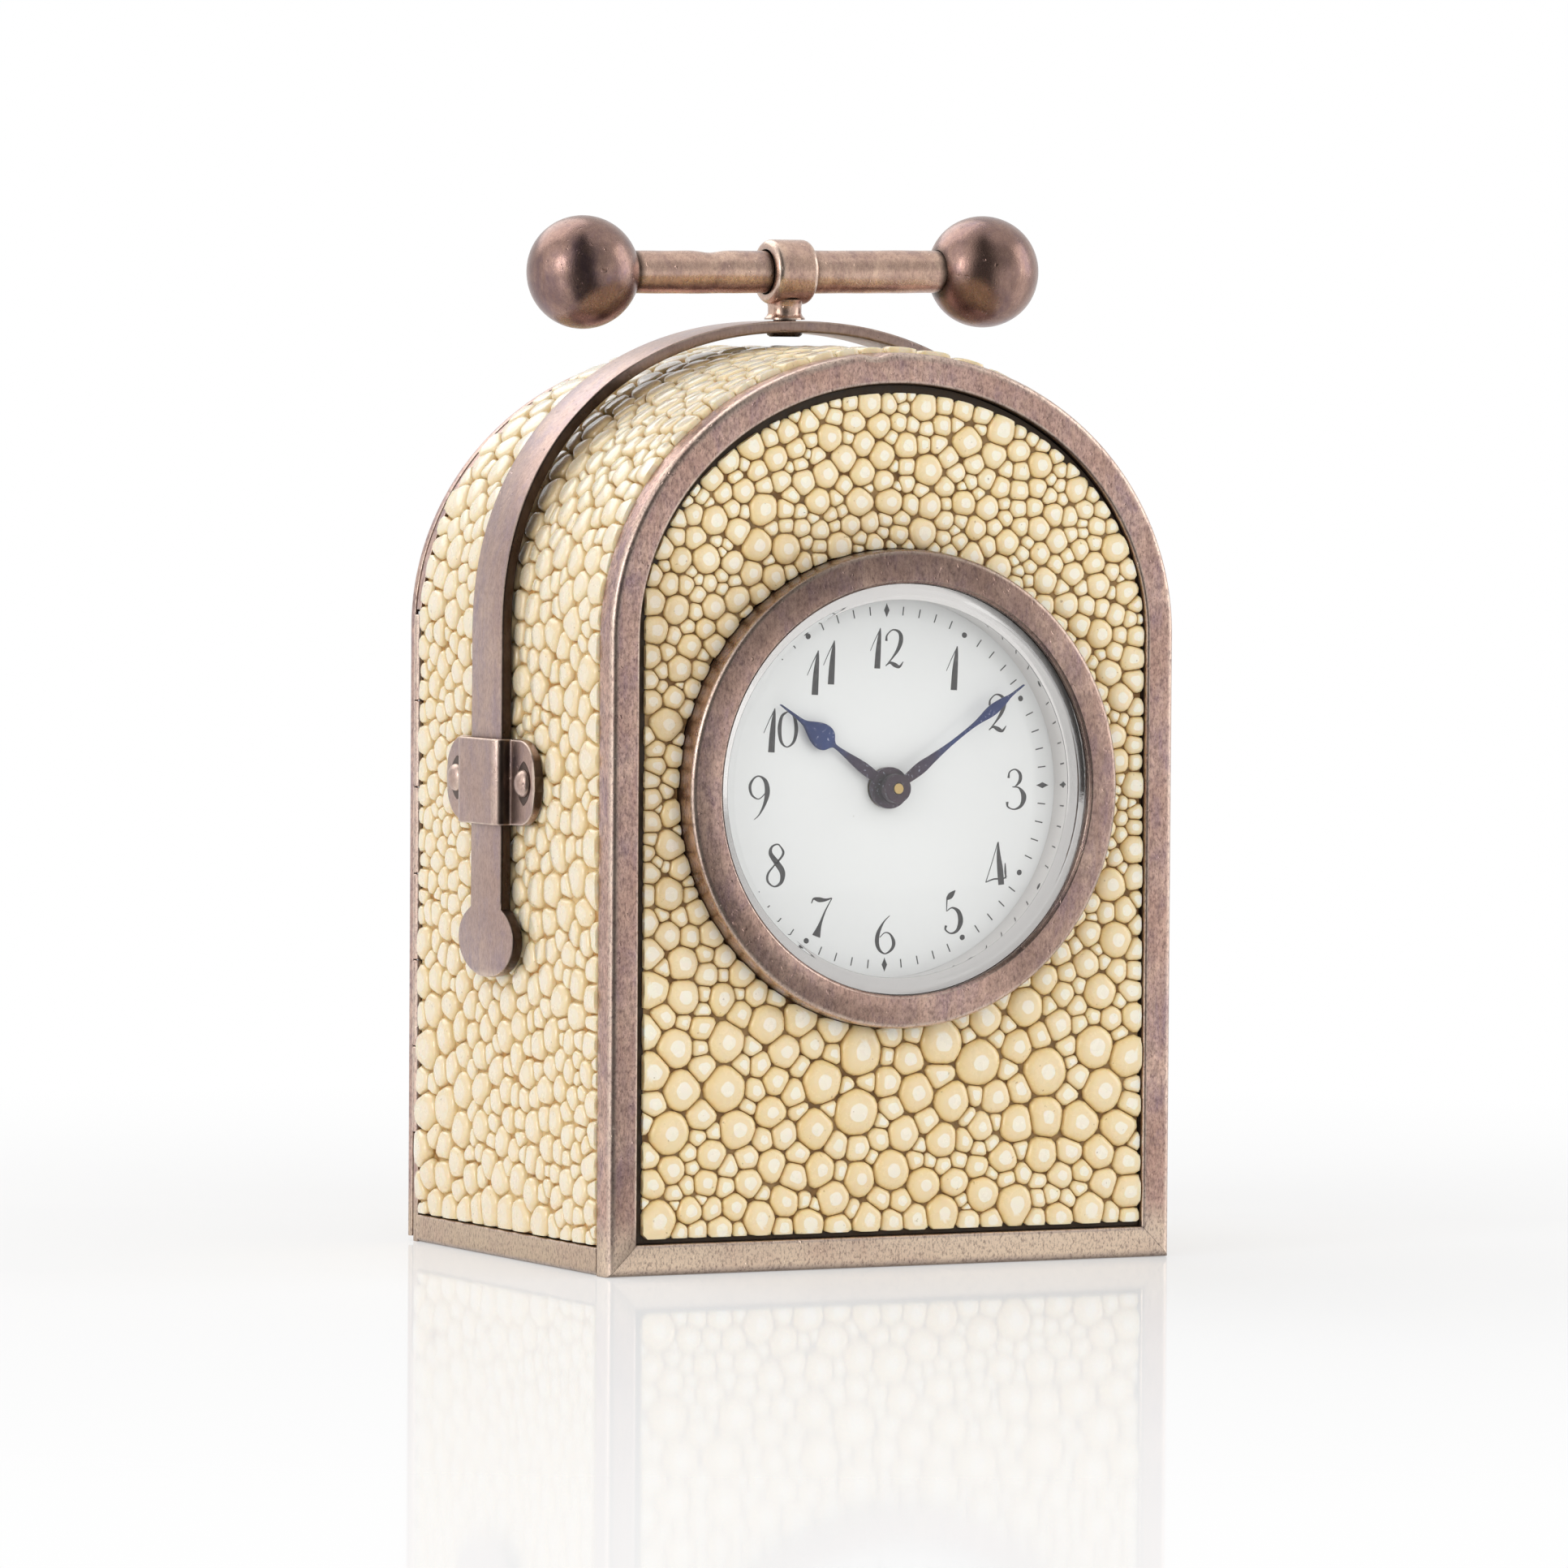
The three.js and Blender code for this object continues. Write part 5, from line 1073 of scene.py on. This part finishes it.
def pearl_faces(count, rings, d):
    """The faces of the pearls: a fan on top, rings of d faces and a closed foot."""
    pattern = [(0, 1 + j, 1 + (j + 1) % d) for j in range(d)]
    for ring in range(rings):
        a, b = 1 + ring * d, 1 + (ring + 1) * d
        pattern += [(a + j, b + j, b + (j + 1) % d, a + (j + 1) % d) for j in range(d)]
    pattern.append(tuple(1 + rings * d + j for j in reversed(range(d))))
    step = 1 + (rings + 1) * d
    return [tuple(index * step + i for i in face) for index in range(count) for face in pattern]


def pearls(name, places, sizes, inside, lift, heights, body, seed, look, directions=18, more_flat=0.0,
           steep=3.0, white=0.5, chosen=None, painted_shade=None, **shape):
    """One mesh of all the pearls, each a dome with a small worn flat on top.

    lift maps (a, b, height) into the object, and a higher steep makes the sides of the domes steeper."""
    rng = np.random.default_rng(seed)
    way, free, reach = cells(places, sizes, inside, directions, **shape)
    if chosen is not None:
        places, sizes, heights, free, reach = (v[chosen] for v in (places, sizes, heights, free, reach))
    count = len(places)
    lean = rng.normal(0, 0.07, (count, 2))
    flat = np.clip(0.50 - 0.11 * sizes + more_flat + rng.normal(0, 0.04, count), 0.30, 0.74)[:, None]
    rings = [flat, flat + 0.05] + [flat + (1 - flat) * share for share in (0.32, 0.58, 0.8, 0.94, 1.0)]
    peak = np.ones((count, 1))
    layers, rises, tips = [np.column_stack([places, heights])[:, None]], [peak], [peak]
    for ring in rings:
        r = reach * ring
        relative = np.clip(r / free, 0, 1)
        outer = np.clip((relative - flat) / (1 - flat), 0, 1)
        level = np.where(relative <= flat, 1.0, 0.975 * (1 - outer ** steep) ** 0.5)
        height = heights[:, None] * level * (1 + (lean[:, None] * way).sum(-1) * relative)
        layers.append(np.concatenate([places[:, None] + way * r[..., None], height[..., None]], -1))
        rises.append(level)
        tips.append(relative <= flat + 1e-6)
    foot = layers[-1].copy()
    foot[..., 2] = PEARL_FOOT
    points = np.concatenate(layers + [foot], 1)
    rise = np.concatenate(rises + [np.zeros_like(reach)], 1)
    # The worn flat's mark also carries a painted highlight
    tip_highlight = np.concatenate(tips + [tips[-1]], 1) * white
    step = points.shape[1]
    points = points.reshape(-1, 3)
    mesh = bpy.data.meshes.new(name)
    mesh.from_pydata((lift(points) * MM).tolist(), [], pearl_faces(count, len(rings), directions))
    # Painted shade from a shadow, where the caller marks it
    if painted_shade is not None:
        mark(mesh, "painted_shade", painted_shade(points))
    mark(mesh, "rise", rise.ravel())
    mark(mesh, "tip_highlight", tip_highlight.ravel())
    mark(mesh, "pearl", np.repeat(np.clip(rng.uniform(0, 0.6, count) + 0.5 * (0.8 - sizes), 0, 1), step))
    dress(name, mesh, look, body, (), 70)


def inside_arch(inset, hole=0.0, top_gap=0.0, foot_gap=0.0, left_gap=0.0):
    """A test of places on an arched panel, clear of a round hole and of the gaps at its edges."""
    wide, tall = HALF - inset, RISE - inset - top_gap

    def test(p):
        x, z = p[:, 0], p[:, 1]
        legs = (np.abs(x) < wide) & (z > inset + foot_gap) & (z <= SPRING)
        top = (z > SPRING) & ((x / wide) ** 2 + ((z - SPRING) / tall) ** 2 < 1)
        return (legs | top) & (np.hypot(x, z - CENTRE) > hole) & (x > left_gap - wide)
    return test


# Pearls by size: smallest and largest share of the local size, how many are tried, and their spacing
FRONT_LEVELS = ((0.84, 1.0, 260, 1.0), (0.58, 0.84, 3000, 0.93), (0.40, 0.58, 5000, 0.86),
                (0.26, 0.36, 3000, 0.84))
SIDE_LEVELS = ((0.84, 1.0, 900, 0.94), (0.62, 0.84, 6000, 0.88), (0.40, 0.62, 5000, 0.82))
PANEL_LOW, PANEL_HIGH = (-21, 2), (21, 65)
FRONT_HOLE = 17.45
FRONT_SKIN, DOOR_SKIN = -16.60, 16.84  # where the pearls of the front and the door stand


def front_size(p):
    """Larger pearls low on the front."""
    z = p[:, 1]
    return 1.12 + 0.66 * np.exp(-((z - 14) / 8.0) ** 2) + 0.1 * np.exp(-((z - 4) / 4) ** 2)


def plain_size(p):
    return 1.25 + 0.25 * np.sin(p[:, 0] * 0.11 + 1) * np.sin(p[:, 1] * 0.08)


def front_painted_shade(p):
    """Painted shade: skin drawn darker brown beside the left of the bezel and above it, in the bezel's
    shadow.
    """
    x, z = p[:, 0], p[:, 1]
    apart = np.hypot(x, z - CENTRE) - BEZEL_RADIUS
    beside = ease(0.5 * (z - CENTRE) - x, 0, 16) * np.clip(1 - apart / 5, 0, 1)
    left = ease(-x, 15, 4) * ease(z, 20, 8) * ease(-z, -58, 8)
    return 0.36 * np.maximum(beside, left)


def on_front(p):
    """(x, z, height) of the front skin as a place in the object."""
    return np.stack([p[:, 0], FRONT_SKIN - p[:, 2], p[:, 1]], -1)


def on_door(p):
    """(x from the right, z, height) of the door's skin as a place in the object."""
    return np.stack([-p[:, 0], DOOR_SKIN + p[:, 2], p[:, 1]], -1)


front_inside = inside_arch(2.42, FRONT_HOLE, top_gap=0.5, foot_gap=0.25, left_gap=0.4)
spots, radii = packed(11, PANEL_LOW, PANEL_HIGH, front_inside, front_size, FRONT_LEVELS)
pearls("front_pearls", spots, radii, front_inside, on_front, np.minimum(0.24 + 0.32 * radii, 0.68), "case",
       21, pearl, 20, steep=2.7, white=1.0, painted_shade=front_painted_shade,
       groove=0.008, crisp=np.interp(spots[:, 1], (26, 46), (30, 15)),
       widest=np.interp(spots[:, 1], (26, 46), (1.55, 1.36)))

door_inside = inside_arch(2.9)
spots, radii = packed(12, PANEL_LOW, PANEL_HIGH, door_inside, plain_size, SIDE_LEVELS)
pearls("door_pearls", spots, radii, door_inside, on_door, np.minimum(0.18 + 0.2 * radii, 0.44), "door",
       22, side_pearl, more_flat=0.1, white=0.6)

# The outline of the wrapped skin by its length, from the bottom left over the arch
OUTLINE = arch(0, 2.15, 900)
OUTWARD = left_of(OUTLINE)
LENGTH = lengths(OUTLINE)
WRAP_FRONT, WRAP_REAR = -15.05, 15.35
SIDE_LENGTH = 44  # of the left and the right skin, the rest being the top


def wrapped(p):
    """(length, y, height) of the wrapped skin as a place in the object. It lifts a little at one corner."""
    x, z = (np.interp(p[:, 0], LENGTH, OUTLINE[:, k]) for k in range(2))
    nx, nz = (np.interp(p[:, 0], LENGTH, OUTWARD[:, k]) for k in range(2))
    level = p[:, 2] - 0.40 + 0.22 * ease(z, 52, 8)
    level += 0.4 * np.exp(-((z - 6.5) / 3.2) ** 2 - ((p[:, 1] - 13.8) / 1.8) ** 2) * (x < 0)
    return np.stack([x + nx * level, p[:, 1], z + nz * level], -1)


def wrap_inside(p):
    along, y = p[:, 0], p[:, 1]
    return (along > 0.05) & (along < LENGTH[-1] - 0.05) & (y > WRAP_FRONT) & (y < WRAP_REAR)


def strap_painted_shadow(p):
    """Painted shadow: skin drawn darker brown along the front of the strap."""
    z = np.interp(p[:, 0], LENGTH, OUTLINE[:, 1])
    half_strap = 2.4
    ahead = HANDLE_Y - half_strap - p[:, 1]
    near = np.clip(1 - ahead / np.interp(z, (44, 60), (1.6, 3.4)), 0, 1) * (ahead > -half_strap)
    return near * ease(z, 25, 4) * np.interp(z, (44, 60), (0.4, 0.8))


spots, radii = packed(13, (0, -15.1), (LENGTH[-1], 15.4), wrap_inside, plain_size, SIDE_LEVELS)
tops = np.minimum(0.36 + 0.22 * radii, 0.72)
spot_z = np.interp(spots[:, 0], LENGTH, OUTLINE[:, 1])
under_keeper = (np.abs(spots[:, 1] - HANDLE_Y) < 7.9) & (np.abs(spot_z - KEEPER_Z) < 3.5)
tops = np.where(under_keeper, np.minimum(tops, 0.55), tops)
left, right = spots[:, 0] < SIDE_LENGTH, spots[:, 0] > LENGTH[-1] - SIDE_LENGTH
for word, chosen, look, steep in (("left", left, side_pearl, 3.0), ("top", ~(left | right), top_pearl, 4.0),
                                  ("right", right, side_pearl, 3.0)):
    pearls(f"wrap_pearls_{word}", spots, radii, wrap_inside, wrapped, tops, "case", 23, look, more_flat=0.16,
           steep=steep, chosen=chosen, painted_shade=strap_painted_shadow)


def wrap_ground():
    outer, inner = 0.22, 1.03
    section = rounded([(outer, WRAP_FRONT, 0.05), (outer, WRAP_REAR, 0.05), (inner, WRAP_REAR, 0.02),
                       (inner, WRAP_FRONT, 0.02)], 3)
    return [section_sweep(section, lambda inset: 2.18, False)]


def panel(inset, face, rear, hole=0.0):
    """A flat arched panel, with a round hole about the dial's centre if one is given."""
    line = arch(inset, inset, 120)
    outer = [upright(line, y) for y in (face, rear)]
    if not hole:
        return [grid(outer, False, True)]
    turn = np.arctan2(line[:, 1] - CENTRE, line[:, 0])
    rim = np.stack([hole * np.cos(turn), CENTRE + hole * np.sin(turn)], -1)
    return [grid(outer + [upright(rim, y) for y in (rear, face)], True, True)]


def gap_shadow_ring():
    """A dark sheet of painted shadow in the gap round the front skin, wide at the top and thin down the right
    side.
    """
    outer, inner = arch(2.36, 2.36), arch(3.3, 3.3)
    x, z = outer[:, 0], outer[:, 1]
    share = np.where(z > 50, np.clip((z - 50) / 9, 0.05, 1), np.where((x < 0) | (z < 4), 0.6, 0.05))
    share = np.where((x < 0) & (z > 50), np.maximum(share, 0.6), share)
    inner = outer + (inner - outer) * share[:, None]
    rear, face = FRONT_SKIN, FRONT_SKIN - 0.07
    rows = [upright(outer, rear), upright(outer, face), upright(inner, face), upright(inner, rear)]
    return [grid(rows, True, True)]


piece("wrap_ground", wrap_ground(), pale_hide, replaces=["skin_wrap"])
piece("front_ground", panel(2.5, face=-16.64, rear=-16.22, hole=FRONT_HOLE), hide, replaces=["skin_front"])
# The front gap is a sheet of painted shadow
piece("front_gap_shadow", gap_shadow_ring(), gap_shadow_look)
piece("door_ground", panel(2.88, face=16.8, rear=16.56), hide, "door", ["door_skin"])

# The remaining solids keep their shape, with softened edges
EDGE_WIDTH = 0.04
FINISH = {
    wood: ["carcass", "front_board", "door_panel"],
    steel: ["hinge_pin", "cannon_pinion", "centre_pinion", "third_pinion", "fourth_pinion", "barrel_arbor",
            "ratchet_wheel", "click", "pallet_fork", "mainspring", "movement_screw_1", "movement_screw_2",
            "movement_screw_3"],
    blued: ["hairspring"],
    brass: ["movement_ring", "front_plate", "back_plate", "pillar_1", "pillar_2", "pillar_3", "centre_arbor",
            "hour_wheel", "minute_wheel", "centre_wheel", "third_wheel", "fourth_wheel", "barrel",
            "winding_knob", "setting_knob", "escape_wheel", "balance", "balance_cock"],
}
for look, names in FINISH.items():
    for name in names:
        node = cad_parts[name]
        node.data.materials.clear()
        node.data.materials.append(look)
        node.modifiers.new("weld", "WELD").merge_threshold = 1e-6
        bevel = node.modifiers.new("edges", "BEVEL")
        bevel.width, bevel.segments = EDGE_WIDTH * MM, 2
        bevel.limit_method, bevel.angle_limit = "ANGLE", radians(40)
